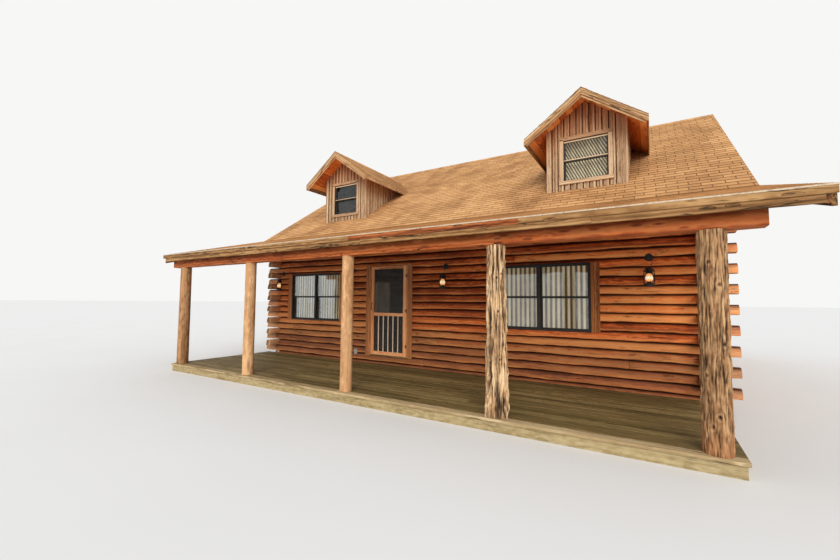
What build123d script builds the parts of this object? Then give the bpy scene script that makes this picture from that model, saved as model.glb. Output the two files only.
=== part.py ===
from build123d import *
from dataclasses import dataclass
import math
import os

# Log cabin with a full-length front porch, a broken-pitch gable roof and two gabled dormers.
# Millimetres. X runs along the front to the right, Y runs towards the back, Z is up from the ground.
# The origin is on the ground, under the ridge, midway between the ends of the house.

os.makedirs("parts", exist_ok=True)

# Levels
deck_top = 160.0
first_joint_above_deck = 58.0
course_height = 152.4
course_count = 19
door_sill_above_deck = 203.0

# Log walls
house_length = 9754.0
house_depth = 8540.0
log_thickness = 150.0
log_chamfer = 18.0
front_log_overhang = 355.0
side_log_overhang = 300.0
log_butt_gap = 3.0

# Roof
main_slope = 0.679
porch_slope = 0.259
gable_overhang = 628.5
plate_face_height = 131.5
roof_skin = 60.0
rafter_width = 45.0
rafter_rise = 165.0
porch_rafter_rise = 120.0
rafter_spacing = 610.0
back_eave = 450.0
ridge_board_width = 40.0
ridge_board_depth = 235.0
fascia_thickness = 20.0
fascia_height = 94.0
fascia_backer_thickness = 38.0
fascia_backer_reveal = 73.0
fascia_backer_setback = 75.0
back_fascia_height = 150.0
rake_thickness = 38.0
rake_depth = 150.0
panel_joint = 2.0

# Porch
deck_depth = 2590.0
deck_past_left_wall = 253.0
deck_past_right_wall = 10.0
eave_past_deck = 94.0
deck_board_thickness = 38.0
deck_board_lip = 22.0
deck_joist_width = 45.0
deck_joist_spacing = 610.0
post_inset = 152.0
post_shares_of_half_length = (-1.015, -0.5315, -0.0154, 0.5011, 0.9567)
smooth_post_radii = ((118.0, 110.0), (105.0, 100.0), (98.0, 94.0))
cedar_post_radii = ((146.0, 112.0), (128.0, 124.0))
header_left_setback = 180.0
header_right_setback = 419.0
header_width = 180.0
header_underside_above_deck = 2162.0
ledger_thickness = 40.0

# Floors
floor_board_thickness = 28.0
floor_joist_width = 50.0
floor_joist_spacing = 610.0
loft_floor_below_wall_top = 131.2
loft_joist_depth = 190.0
loft_joist_spacing = 1200.0

# Gables and dormers
gable_thickness = 100.0
dormer_centres = (-3068.0, 3097.0)
dormer_width = 1400.0
dormer_wall_setback = 760.0
dormer_wall_thickness = 100.0
dormer_roof_overhang = 468.0
dormer_span = 2144.0
dormer_peak_below_ridge = 594.0
dormer_slope = 0.7276
dormer_skin = 50.0
barge_thickness = 20.0
barge_depth = 140.0
dormer_eave_board = 90.0

# Windows
window_width = 1756.0
window_height = 1211.0
window_sill_above_deck = 930.0
front_window_centres = (-3364.0, 2374.0)
window_frame_face = 26.0
window_mullion = 52.0
window_frame_depth = 110.0
window_frame_proud = 10.0
sash_face = 27.0
sash_meeting_rail = 40.0
sash_depth = 28.0
glass_thickness = 6.0
loft_window_width = 850.0
loft_window_height = 857.0
loft_sill_above_roof = 154.0
trim_thickness = 25.0
window_trim_width = 140.0
door_trim_width = 118.0

# Front door
door_left = -1500.0
door_right = -525.0
door_height = 2031.0
door_thickness = 32.0
door_clearance = 5.0
door_jamb = 34.0
door_jamb_depth = 150.0
door_sill_thickness = 30.0
door_stile = 80.0
door_top_rail = 62.0
door_mid_rail = 70.0
door_bottom_rail = 78.0
door_mid_rail_height = 927.0
spindle_count = 5
spindle_radius = 13.0
screen_thickness = 2.0
handle_height = 1109.0
handle_length = 150.0
handle_radius = 7.0
handle_standoff = 42.0
hinge_radius = 6.0
hinge_knuckle = 24.0
hinge_gap = 0.5
hinge_leaf_width = 30.0
hinge_leaf_thickness = 2.0
hinge_offset = 7.0
hinge_heights = (230.0, 1015.0, 1800.0)

# Lanterns and outlet
lantern_positions = (-4600.0, -2070.0, 455.0, 4116.0)
lantern_disc_height = 2178.0
lantern_disc_radius = 66.0
lantern_disc_thickness = 22.0
lantern_reach = 150.0
lantern_arm_radius = 8.0
lantern_width = 162.0
lantern_body_top = 2010.0
lantern_body_bottom = 1700.0
lantern_cap_height = 60.0
lantern_base_height = 24.0
lantern_bar = 8.0
lantern_glass_thickness = 3.0
outlet_position = -1947.0
outlet_height = 234.0
outlet_width = 80.0
outlet_length = 125.0
outlet_depth = 45.0

# Sizes worked out from the ones above
half_length = house_length / 2
half_depth = house_depth / 2
half_roof = half_length + gable_overhang
log_base = deck_top + first_joint_above_deck - course_height
wall_top = log_base + course_count * course_height
break_height = wall_top + plate_face_height + rafter_rise + roof_skin
ridge_height = break_height + main_slope * half_depth
deck_left = -half_length - deck_past_left_wall
deck_right = half_length + deck_past_right_wall
eave_front = -half_depth - deck_depth - eave_past_deck
eave_back = half_depth + back_eave
post_y = -half_depth - deck_depth + post_inset
post_positions = [share * half_length for share in post_shares_of_half_length]
header_left = -half_roof + header_left_setback
header_right = half_roof - header_right_setback
header_bottom = deck_top + header_underside_above_deck
header_front = post_y - header_width / 2
header_back = post_y + header_width / 2
floor_top = deck_top + door_sill_above_deck
floor_underside = floor_top - floor_board_thickness
deck_front = -half_depth - deck_depth
dormer_front = -half_depth + dormer_wall_setback
dormer_eave = dormer_front - dormer_roof_overhang
dormer_peak = ridge_height - dormer_peak_below_ridge
loft_floor_top = wall_top - loft_floor_below_wall_top
loft_window_sill = ridge_height + main_slope * dormer_front + loft_sill_above_roof
window_sill_height = deck_top + window_sill_above_deck
door_bottom = floor_top + door_clearance
door_top = door_bottom + door_height
door_face = -half_depth - trim_thickness
hinge_x = door_right + door_clearance / 2
hinge_y = door_face - hinge_offset


@dataclass(frozen=True)
class Opening:
    """A rectangular hole in a wall, measured along the wall and up from the ground."""

    start: float
    end: float
    bottom: float
    top: float


def box(x0, x1, y0, y1, z0, z1):
    """Return a block between two corners."""
    return Pos((x0 + x1) / 2, (y0 + y1) / 2, (z0 + z1) / 2) * Box(x1 - x0, y1 - y0, z1 - z0)


def prism_x(outline, x0, x1):
    """Return a prism along X from an outline of (y, z) points."""
    face = Plane.YZ * Polygon(*outline, align=None)
    return Pos(x0, 0, 0) * extrude(face, amount=x1 - x0, dir=(1, 0, 0))


def prism_y(outline, y0, y1):
    """Return a prism along Y from an outline of (x, z) points."""
    face = Plane.XZ * Polygon(*outline, align=None)
    return Pos(0, y0, 0) * extrude(face, amount=y1 - y0, dir=(0, 1, 0))


def write(node, shapes):
    """Write the solids of one sub-part to its own file."""
    solids = []
    for shape in shapes:
        solids.extend(shape.solids())
    export_step(Compound(solids), f"parts/{node}.step")


def roof_top(y):
    """Return the height of the roof's upper face over a point on the Y axis."""
    if y < -half_depth:
        return break_height - porch_slope * (-half_depth - y)
    return ridge_height - main_slope * abs(y)


def log_section(face, inward):
    """Return a log's chamfered section as (depth, height) points, its foot at height 0."""
    c = log_chamfer
    h = course_height
    t = log_thickness
    points = [(c, 0), (t - c, 0), (t, c), (t, h - c), (t - c, h), (c, h), (0, h - c), (0, c)]
    return [(face + inward * depth, height) for depth, height in points]


def runs_past_openings(course, start, end, openings, joints):
    """Split one course into the lengths of log left between openings and butt joints."""
    low = log_base + course * course_height
    high = low + course_height
    spans = [(start, end)]
    for hole in openings:
        if hole.bottom > low + 1 or hole.top < high - 1:
            continue
        kept = []
        for a, b in spans:
            if hole.end <= a or hole.start >= b:
                kept.append((a, b))
                continue
            if hole.start > a:
                kept.append((a, hole.start))
            if hole.end < b:
                kept.append((hole.end, b))
        spans = kept
    for joint in joints:
        kept = []
        for a, b in spans:
            if a + 300 < joint < b - 300:
                kept.append((a, joint - log_butt_gap / 2))
                kept.append((joint + log_butt_gap / 2, b))
            else:
                kept.append((a, b))
        spans = kept
    return spans


def notches(course, openings):
    """Return the openings that reach only part of the way into a course."""
    low = log_base + course * course_height
    high = low + course_height
    found = []
    for hole in openings:
        whole = hole.bottom <= low + 1 and hole.top >= high - 1
        outside = hole.bottom >= high - 1 or hole.top <= low + 1
        if not whole and not outside:
            found.append(hole)
    return found


def wall_logs(along_x, face, inward, courses, reach, openings, joints_of):
    """Return the logs of one wall for the given courses, cut round its openings."""
    logs = []
    section = log_section(face, inward)
    depth_low = min(face, face + inward * log_thickness)
    depth_high = depth_low + log_thickness
    for course in courses:
        low = log_base + course * course_height
        outline = [(depth, low + height) for depth, height in section]
        start, end = reach(course)
        for a, b in runs_past_openings(course, start, end, openings, joints_of(course)):
            log = prism_x(outline, a, b) if along_x else prism_y(outline, a, b)
            for hole in notches(course, openings):
                if hole.end <= a or hole.start >= b:
                    continue
                if along_x:
                    log -= box(hole.start, hole.end, depth_low - 1, depth_high + 1, hole.bottom, hole.top)
                else:
                    log -= box(depth_low - 1, depth_high + 1, hole.start, hole.end, hole.bottom, hole.top)
            logs.append(log)
    return logs


def front_openings():
    """Return the door and window openings of the front wall."""
    door = Opening(door_left - door_clearance - door_jamb, door_right + door_clearance + door_jamb,
                   floor_top - door_sill_thickness, door_top + door_clearance + door_jamb)
    return [door] + window_openings(front_window_centres)


def window_openings(centres):
    """Return one main window opening at each centre along a wall."""
    low = window_sill_height
    half = window_width / 2
    return [Opening(c - half, c + half, low, low + window_height) for c in centres]


def front_joints(course):
    """Return where lengths of log meet in one course of the front wall."""
    seen = {1: (-80.0,), 3: (3807.0,), 4: (260.0,), 15: (-1262.0, 1924.0), 16: (274.0,),
            17: (3659.0,), 18: (-2770.0, 1069.0)}
    return seen.get(course, ())


def regular_joints(course):
    """Return staggered joints for a wall that isn't seen."""
    stagger = (-1500.0, 900.0, -300.0, 1900.0)
    return (stagger[course % len(stagger)],)


def log_walls():
    """Write the four log walls, whose courses pass each other in turn at the corners."""
    odd = range(1, course_count, 2)
    even = range(0, course_count, 2)
    inner_x = half_length - log_thickness
    inner_y = half_depth - log_thickness

    def long_reach(course):
        return (-half_length - front_log_overhang, half_length + front_log_overhang)

    def short_reach(course):
        return (-inner_x, inner_x)

    def side_pass(course):
        front_end = -half_depth if course == 0 else -half_depth - side_log_overhang
        back_end = half_depth if course == course_count - 1 else half_depth + side_log_overhang
        return (front_end, back_end)

    def side_butt(course):
        return (-inner_y, inner_y)

    front = front_openings()
    back = window_openings(front_window_centres)
    side = window_openings((0.0,))
    write("front_wall_pass_logs",
          wall_logs(True, -half_depth, 1, odd, long_reach, front, front_joints))
    write("front_wall_butt_logs",
          wall_logs(True, -half_depth, 1, even, short_reach, front, front_joints))
    write("back_wall_pass_logs",
          wall_logs(True, half_depth, -1, odd, long_reach, back, regular_joints))
    write("back_wall_butt_logs",
          wall_logs(True, half_depth, -1, even, short_reach, back, regular_joints))
    for name, face, inward in (("left", -half_length, 1), ("right", half_length, -1)):
        write(f"{name}_wall_pass_logs",
              wall_logs(False, face, inward, even, side_pass, side, regular_joints))
        write(f"{name}_wall_butt_logs",
              wall_logs(False, face, inward, odd, side_butt, side, regular_joints))


def spaced(start, end, spacing):
    """Return evenly spaced centres from start to end, no further apart than spacing."""
    bays = max(1, math.ceil((end - start) / spacing))
    return [start + (end - start) * i / bays for i in range(bays + 1)]


def foundation_and_floors():
    """Write the base slab, the joists of both storeys and the two floors."""
    inner_x = half_length - log_thickness
    inner_y = half_depth - log_thickness
    write("foundation", [box(-half_length, half_length, -half_depth, half_depth, 0, log_base)])
    edge = floor_joist_width / 2
    joists = [box(x - edge, x + edge, -inner_y, inner_y, log_base, floor_underside)
              for x in spaced(-inner_x + edge, inner_x - edge, floor_joist_spacing)]
    loft_underside = loft_floor_top - floor_board_thickness
    joists += [box(x - edge, x + edge, -inner_y, inner_y, loft_underside - loft_joist_depth, loft_underside)
               for x in spaced(-inner_x + edge, inner_x - edge, loft_joist_spacing)]
    write("floor_joists", joists)
    write("ground_floor", [box(-inner_x, inner_x, -inner_y, inner_y, floor_underside, floor_top)])
    write("loft_floor", [box(-inner_x, inner_x, -inner_y, inner_y, loft_underside, loft_floor_top)])


def roof_body(low):
    """Return everything under the main roof's upper face, down to a level."""
    far = half_depth + back_eave
    outline = [(-far, low), (far, low), (far, ridge_height - main_slope * far),
               (0, ridge_height), (-far, ridge_height - main_slope * far)]
    return prism_x(outline, -half_roof, half_roof)


def dormer_cheek_back():
    """Return how far back the dormer's side walls meet the main roof."""
    eave_under = dormer_peak - dormer_skin - dormer_slope * dormer_width / 2
    return -(ridge_height - eave_under) / main_slope


def dormer_well(centre):
    """Return the clear space through the roof between the dormer's walls."""
    half = dormer_width / 2 - dormer_wall_thickness
    front = dormer_front + dormer_wall_thickness
    return box(centre - half, centre + half, front, dormer_cheek_back(), loft_floor_top, dormer_peak)


def roof_strip(y0, y1, drop, depth, x0, x1):
    """Return a sloping piece under the roof's upper face, dropped by a height and of a given depth."""
    outline = [(y0, height_near(y0, y1) - drop), (y1, height_near(y1, y0) - drop),
               (y1, height_near(y1, y0) - drop - depth), (y0, height_near(y0, y1) - drop - depth)]
    return prism_x(outline, x0, x1)


def height_near(y, other):
    """Return the roof's height at y on the slope that also carries the other point."""
    if (y + other) / 2 < -half_depth:
        return break_height - porch_slope * (-half_depth - y)
    return ridge_height - main_slope * abs(y)


def roof_panels():
    """Write the roof's covering: front slope with the dormer wells, back slope and porch."""
    front = roof_strip(-half_depth, 0, 0, roof_skin, -half_roof, half_roof)
    for centre in dormer_centres:
        front -= dormer_well(centre)
    write("main_roof_front", [front])
    write("main_roof_back", [roof_strip(0, eave_back, 0, roof_skin, -half_roof, half_roof)])
    porch_end = eave_front + fascia_thickness
    write("porch_roof", [roof_strip(porch_end, -half_depth, 0, roof_skin, -half_roof, half_roof)])


def rafters():
    """Write the rafters of the main roof and of the porch, and the ridge board."""
    edge = rafter_width / 2
    reach = half_length - gable_thickness - edge
    positions = spaced(-reach, reach, rafter_spacing)
    start = ridge_board_width / 2
    main = []
    for x in positions:
        rafter = roof_strip(-half_depth, -start, roof_skin, rafter_rise, x - edge, x + edge)
        for centre in dormer_centres:
            if abs(x - centre) < dormer_width / 2 - dormer_wall_thickness + edge:
                rafter -= dormer_well(centre)
        main.append(rafter)
        main.append(roof_strip(start, eave_back, roof_skin, rafter_rise, x - edge, x + edge))
    write("main_rafters", main)
    tail = eave_front + fascia_thickness + fascia_backer_thickness
    outer = half_roof - rake_thickness - edge
    porch_positions = [-outer] + positions + [outer]
    porch = [roof_strip(tail, -half_depth, roof_skin, porch_rafter_rise, x - edge, x + edge)
             for x in porch_positions]
    write("porch_rafters", porch)
    top = ridge_height - roof_skin
    outline = [(-start, top - main_slope * start), (-start, top - ridge_board_depth),
               (start, top - ridge_board_depth), (start, top - main_slope * start), (0, top)]
    write("ridge_board", [prism_x(outline, -half_roof + rake_thickness, half_roof - rake_thickness)])


def ridge_slot():
    """Return the space that the ridge board takes through a gable."""
    start = ridge_board_width / 2
    top = ridge_height
    return box(-half_roof, half_roof, -start, start, ridge_height - roof_skin - ridge_board_depth, top)


def plates_and_gables():
    """Write the bevelled wall plates, the porch ledger and the gable walls."""
    drop = roof_skin + rafter_rise
    inner_y = half_depth - log_thickness
    reach = half_length - gable_thickness
    plates = []
    for side in (-1, 1):
        outline = [(side * half_depth, wall_top), (side * inner_y, wall_top),
                   (side * inner_y, ridge_height - main_slope * inner_y - drop),
                   (side * half_depth, ridge_height - main_slope * half_depth - drop)]
        plates.append(prism_x(outline, -reach, reach))
    write("wall_plates", plates)
    outer = -half_depth - ledger_thickness
    drop = roof_skin + porch_rafter_rise
    outline = [(outer, wall_top), (-half_depth, wall_top), (-half_depth, break_height - drop),
               (outer, break_height - drop - porch_slope * ledger_thickness)]
    write("porch_ledger", [prism_x(outline, -half_length, half_length)])
    gables = []
    top = ridge_height - roof_skin
    outline = [(-half_depth, wall_top), (half_depth, wall_top), (half_depth, top - main_slope * half_depth),
               (0, top), (-half_depth, top - main_slope * half_depth)]
    half = loft_window_width / 2
    for side in (-1, 1):
        outer_x = side * half_length
        inner_x = side * reach
        gable = prism_x(outline, min(outer_x, inner_x), max(outer_x, inner_x))
        gable -= ridge_slot()
        gable -= box(-half_roof, half_roof, -half, half, loft_window_sill, loft_window_sill + loft_window_height)
        gables.append(gable)
    write("gable_walls", gables)


def fascias_and_rakes():
    """Write the boards along the eaves and up the ends of the roof."""
    drip = roof_top(eave_front)
    front = box(-half_roof, half_roof, eave_front, eave_front + fascia_thickness, drip - fascia_height, drip)
    write("porch_fascia", [front])
    backer_front = eave_front + fascia_thickness
    backer_back = backer_front + fascia_backer_thickness
    low = drip - fascia_height - fascia_backer_reveal
    under = roof_top(backer_front) - roof_skin
    outline = [(backer_front, low), (backer_back, low),
               (backer_back, under + porch_slope * fascia_backer_thickness), (backer_front, under)]
    write("porch_fascia_backer",
          [prism_x(outline, -half_roof + fascia_backer_setback, half_roof - fascia_backer_setback)])
    under = roof_top(eave_back) - roof_skin
    write("back_fascia", [box(-half_roof, half_roof, eave_back, eave_back + fascia_thickness,
                              under + roof_skin - back_fascia_height, under + roof_skin)])
    rakes = []
    porch_start = eave_front + fascia_thickness + fascia_backer_thickness
    gap = panel_joint / 2
    for x0, x1 in ((-half_roof, -half_roof + rake_thickness), (half_roof - rake_thickness, half_roof)):
        rakes.append(roof_strip(porch_start, -half_depth - gap, roof_skin, rake_depth, x0, x1))
        rakes.append(roof_strip(-half_depth + gap, -gap, roof_skin, rake_depth, x0, x1))
        rakes.append(roof_strip(gap, eave_back, roof_skin, rake_depth, x0, x1))
    write("rake_boards", rakes)


def header_and_posts():
    """Write the porch header, spliced over the fourth post, and the five posts."""
    drop = roof_skin + porch_rafter_rise
    outline = [(header_front, header_bottom), (header_back, header_bottom),
               (header_back, roof_top(header_back) - drop), (header_front, roof_top(header_front) - drop)]
    splice = post_positions[3]
    gap = panel_joint / 2
    write("porch_header", [prism_x(outline, header_left, splice - gap),
                           prism_x(outline, splice + gap, header_right)])
    smooth = [post(x, *radii) for x, radii in zip(post_positions[:3], smooth_post_radii)]
    cedar = [post(x, *radii) for x, radii in zip(post_positions[3:], cedar_post_radii)]
    write("smooth_posts", smooth)
    write("cedar_posts", cedar)


def post(x, foot_radius, top_radius):
    """Return a round post that tapers from the deck to the header."""
    height = header_bottom - deck_top
    return Pos(x, post_y, deck_top + height / 2) * Cone(foot_radius, top_radius, height)


def deck():
    """Write the deck's boards as one layer and the frame that carries them."""
    underside = deck_top - deck_board_thickness
    write("deck_boards", [box(deck_left, deck_right, deck_front, -half_depth, underside, deck_top)])
    rim_left = deck_left + deck_board_lip
    rim_right = deck_right - deck_board_lip
    rim_front = deck_front + deck_board_lip
    w = deck_joist_width
    frame = box(rim_left, rim_right, rim_front, rim_front + w, 0, underside)
    frame += box(rim_left, rim_right, -half_depth - w, -half_depth, 0, underside)
    for x in spaced(rim_left + w / 2, rim_right - w / 2, deck_joist_spacing):
        frame += box(x - w / 2, x + w / 2, rim_front, -half_depth, 0, underside)
    write("deck_frame", [frame])


def dormers():
    """Write the dormers: walls, roofs, barge boards and eave boards."""
    body = roof_body(wall_top)
    walls, roofs, barges, eaves = [], [], [], []
    half = dormer_width / 2
    half_span = dormer_span / 2
    end_height = dormer_peak - dormer_slope * half_span
    window_half = loft_window_width / 2
    for centre in dormer_centres:
        def at(x, z):
            return (centre + x, z)

        skin = [at(-half_span, end_height), at(0, dormer_peak), at(half_span, end_height),
                at(half_span, end_height - dormer_skin), at(0, dormer_peak - dormer_skin),
                at(-half_span, end_height - dormer_skin)]
        under = dormer_peak - dormer_skin
        shell = [at(-half, wall_top), at(half, wall_top), at(half, under - dormer_slope * half),
                 at(0, under), at(-half, under - dormer_slope * half)]
        wall = prism_y(shell, dormer_front, dormer_cheek_back())
        inner = half - dormer_wall_thickness
        hollow_front = dormer_front + dormer_wall_thickness
        wall -= box(centre - inner, centre + inner, hollow_front, 0, wall_top, dormer_peak)
        wall -= box(centre - window_half, centre + window_half, dormer_front - 1, hollow_front + 1,
                    loft_window_sill, loft_window_sill + loft_window_height)
        walls.append(wall - body)
        roof = prism_y(skin, dormer_eave + barge_thickness, 0)
        roofs.append(roof - body)
        gap = panel_joint / 2
        for side in (-1, 1):
            barge = [at(side * gap, dormer_peak - dormer_slope * gap), at(side * half_span, end_height),
                     at(side * half_span, end_height - barge_depth),
                     at(side * gap, dormer_peak - dormer_slope * gap - barge_depth)]
            barges.append(prism_y(barge, dormer_eave, dormer_eave + barge_thickness))
            outer = centre + side * half_span
            inner_edge = outer - side * barge_thickness
            low = end_height - dormer_skin - dormer_eave_board
            high = end_height - dormer_skin
            board = box(min(outer, inner_edge), max(outer, inner_edge),
                        dormer_eave + barge_thickness, 0, low, high)
            eaves.append(board - body)
    write("dormer_walls", walls)
    write("dormer_roofs", roofs)
    write("dormer_barge_boards", barges)
    write("dormer_eave_boards", eaves)


def window_bays(width, mullion):
    """Return the clear bays of a window as (left, right) pairs about its centre."""
    left = -width / 2 + window_frame_face
    right = width / 2 - window_frame_face
    if mullion == 0:
        return [(left, right)]
    return [(left, -mullion / 2), (mullion / 2, right)]


def window(width, height, mullion):
    """Return a sliding-sash window as frame, sashes and panes, its outer wall face at y 0."""
    front = -window_frame_proud
    frame = box(-width / 2, width / 2, front, front + window_frame_depth, 0, height)
    sashes, panes = [], []
    middle = height / 2
    foot = window_frame_face
    head = height - window_frame_face
    for left, right in window_bays(width, mullion):
        frame -= box(left, right, front - 1, front + window_frame_depth + 1, foot, head)
        outer = front + window_frame_face
        rail = sash_meeting_rail
        upper = (left, right, outer, middle - rail / 2, head, rail, sash_face)
        lower = (left, right, outer + sash_depth + 2, foot, middle + rail / 2, sash_face, rail)
        for x0, x1, y0, z0, z1, foot_rail, head_rail in (upper, lower):
            sash = box(x0, x1, y0, y0 + sash_depth, z0, z1)
            hole = (x0 + sash_face, x1 - sash_face, z0 + foot_rail, z1 - head_rail)
            sash -= box(hole[0], hole[1], y0 - 1, y0 + sash_depth + 1, hole[2], hole[3])
            sashes.append(sash)
            centre = y0 + sash_depth / 2
            panes.append(box(hole[0], hole[1], centre - glass_thickness / 2,
                             centre + glass_thickness / 2, hole[2], hole[3]))
    return [frame], sashes, panes


def windows():
    """Write every window and the trim boards beside the main ones."""
    frames, sashes, panes, trims = [], [], [], []
    places = []
    for x in front_window_centres:
        places.append(Pos(x, -half_depth, window_sill_height))
        places.append(Pos(x, half_depth, window_sill_height) * Rot(0, 0, 180))
    places.append(Pos(-half_length, 0, window_sill_height) * Rot(0, 0, -90))
    places.append(Pos(half_length, 0, window_sill_height) * Rot(0, 0, 90))
    for place in places:
        unit = window(window_width, window_height, window_mullion)
        for pieces, group in zip(unit, (frames, sashes, panes)):
            group.extend(place * piece for piece in pieces)
        edge = window_width / 2
        for x0 in (-edge - window_trim_width, edge):
            trims.append(place * box(x0, x0 + window_trim_width, -trim_thickness, 0, 0, window_height))
    loft_places = [Pos(x, dormer_front, loft_window_sill) for x in dormer_centres]
    loft_places.append(Pos(-half_length, 0, loft_window_sill) * Rot(0, 0, -90))
    loft_places.append(Pos(half_length, 0, loft_window_sill) * Rot(0, 0, 90))
    for place in loft_places:
        unit = window(loft_window_width, loft_window_height, 0)
        for pieces, group in zip(unit, (frames, sashes, panes)):
            group.extend(place * piece for piece in pieces)
    jamb_left = door_left - door_clearance - door_jamb
    jamb_right = door_right + door_clearance + door_jamb
    for x0, x1 in ((jamb_left - door_trim_width, jamb_left), (jamb_right, jamb_right + door_trim_width)):
        trims.append(box(x0, x1, -half_depth - trim_thickness, -half_depth, floor_top - door_sill_thickness,
                         door_top + door_clearance + door_jamb))
    write("window_frames", frames)
    write("window_sashes", sashes)
    write("window_glass", panes)
    write("wall_trim_boards", trims)


def door_frame():
    """Write the door's jambs, head and sill as one frame in the log wall."""
    hole = front_openings()[0]
    front = -half_depth - trim_thickness
    frame = box(hole.start, hole.end, front, front + door_jamb_depth, hole.bottom, hole.top)
    frame -= box(hole.start + door_jamb, hole.end - door_jamb, front - 1, front + door_jamb_depth + 1,
                 floor_top, hole.top - door_jamb)
    write("door_frame", [frame])


def screen_door():
    """Write the screen door's timber frame with its spindles, its screens and its hardware."""
    y0 = door_face
    y1 = door_face + door_thickness
    mid_low = door_bottom + door_mid_rail_height - door_mid_rail / 2
    mid_high = mid_low + door_mid_rail
    left = door_left + door_stile
    right = door_right - door_stile
    low = door_bottom + door_bottom_rail
    high = door_top - door_top_rail
    leaf = box(door_left, door_right, y0, y1, door_bottom, door_top)
    leaf -= box(left, right, y0 - 1, y1 + 1, low, mid_low)
    leaf -= box(left, right, y0 - 1, y1 + 1, mid_high, high)
    for i in range(spindle_count):
        x = left + (right - left) * (i + 1) / (spindle_count + 1)
        leaf += Pos(x, y0 + spindle_radius + 1, (low + mid_low) / 2) * Cylinder(spindle_radius, mid_low - low)
    write("screen_door", [leaf])
    back = y1 - 1 - screen_thickness
    write("door_screen", [box(left, right, back, back + screen_thickness, low, mid_low),
                          box(left, right, back, back + screen_thickness, mid_high, high)])
    write("door_hardware", [door_handle()] + hinge_leaves(-1))
    write("frame_hinges", hinge_leaves(1))


def door_handle():
    """Return the pull handle on the door's free stile."""
    x = door_left + door_stile / 2
    z = door_bottom + handle_height
    y = door_face - handle_standoff
    half = handle_length / 2
    grip = Pos(x, y, z) * Cylinder(handle_radius, handle_length)
    for end in (z - half + handle_radius, z + half - handle_radius):
        grip += Pos(x, y + handle_standoff / 2, end) * Rot(90, 0, 0) * Cylinder(handle_radius, handle_standoff)
    return grip


def hinge_leaves(side):
    """Return one half of each hinge: side -1 is on the door, side 1 on the trim board."""
    leaves = []
    for height in hinge_heights:
        z = door_bottom + height
        if side < 0:
            knuckles = [(z - hinge_knuckle / 2, z + hinge_knuckle / 2)]
        else:
            near = hinge_knuckle / 2 + hinge_gap
            knuckles = [(z - near - hinge_knuckle, z - near), (z + near, z + near + hinge_knuckle)]
        for z0, z1 in knuckles:
            barrel = Pos(hinge_x, hinge_y, (z0 + z1) / 2) * Cylinder(hinge_radius, z1 - z0)
            far = hinge_x + side * hinge_leaf_width
            near_edge = hinge_x + side * hinge_radius / 2
            tab = box(min(near_edge, far), max(near_edge, far), door_face - hinge_leaf_thickness,
                      door_face, z0, z1)
            web = box(min(near_edge, near_edge + side * 2), max(near_edge, near_edge + side * 2),
                      hinge_y, door_face, z0, z1)
            leaves.append(barrel + tab + web)
    return leaves


def lanterns():
    """Write the wall lanterns and their panes."""
    bodies, glasses = [], []
    for x in lantern_positions:
        body, glass = lantern(x)
        bodies.append(body)
        glasses.extend(glass)
    write("lanterns", bodies)
    write("lantern_glass", glasses)


def lantern(x):
    """Return one lantern on its disc and arm, and its glass."""
    wall = -half_depth
    z_disc = deck_top + lantern_disc_height
    z_top = deck_top + lantern_body_top
    z_low = deck_top + lantern_body_bottom
    y = wall - lantern_reach
    half = lantern_width / 2
    disc = Pos(x, wall - lantern_disc_thickness / 2, z_disc) * Rot(90, 0, 0)
    body = disc * Cylinder(lantern_disc_radius, lantern_disc_thickness)
    body += Pos(x, (wall + y) / 2, z_disc) * Rot(90, 0, 0) * Cylinder(lantern_arm_radius, lantern_reach)
    body += Pos(x, y, z_disc) * Sphere(lantern_arm_radius * 1.5)
    stem_foot = z_top - lantern_cap_height / 2
    body += Pos(x, y, (stem_foot + z_disc) / 2) * Cylinder(lantern_arm_radius, z_disc - stem_foot)
    cap_foot = z_top - lantern_cap_height
    body += Pos(x, y, cap_foot + lantern_cap_height / 2) * Cone(half, half / 5, lantern_cap_height)
    body += Pos(x, y, z_low + lantern_base_height / 2) * Cylinder(half * 0.8, lantern_base_height)
    glass_radius = half * 0.66
    for i in range(4):
        angle = math.radians(45 + 90 * i)
        bar = Pos(x + glass_radius * math.cos(angle), y + glass_radius * math.sin(angle), (z_low + cap_foot) / 2)
        body += bar * Box(lantern_bar, lantern_bar, cap_foot - z_low)
    outer = glass_radius - lantern_bar
    foot = z_low + lantern_base_height
    glass = Pos(x, y, (foot + cap_foot) / 2) * Cylinder(outer, cap_foot - foot)
    glass -= Pos(x, y, (foot + cap_foot) / 2) * Cylinder(outer - lantern_glass_thickness, cap_foot - foot + 2)
    return body, [glass]


def outlet():
    """Write the weatherproof outlet box on the front wall."""
    z = deck_top + outlet_height
    wall = -half_depth
    half = outlet_width / 2
    body = box(outlet_position - half, outlet_position + half, wall - outlet_depth, wall,
               z - outlet_length / 2, z + outlet_length / 2)
    write("outlet_box", [body])


def main():
    """Build every sub-part of the cabin."""
    foundation_and_floors()
    log_walls()
    plates_and_gables()
    roof_panels()
    rafters()
    fascias_and_rakes()
    header_and_posts()
    deck()
    dormers()
    windows()
    door_frame()
    screen_door()
    lanterns()
    outlet()


main()
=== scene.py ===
"""Dresses the log cabin: hewn log walls, shingled roofs, porch, dormers, windows and door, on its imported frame."""
import logging
import math
import random
from dataclasses import dataclass, replace
from enum import Enum
from typing import Callable, ClassVar, Iterable, Sequence

import bmesh
import bpy
from mathutils import Matrix, Vector, noise


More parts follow.
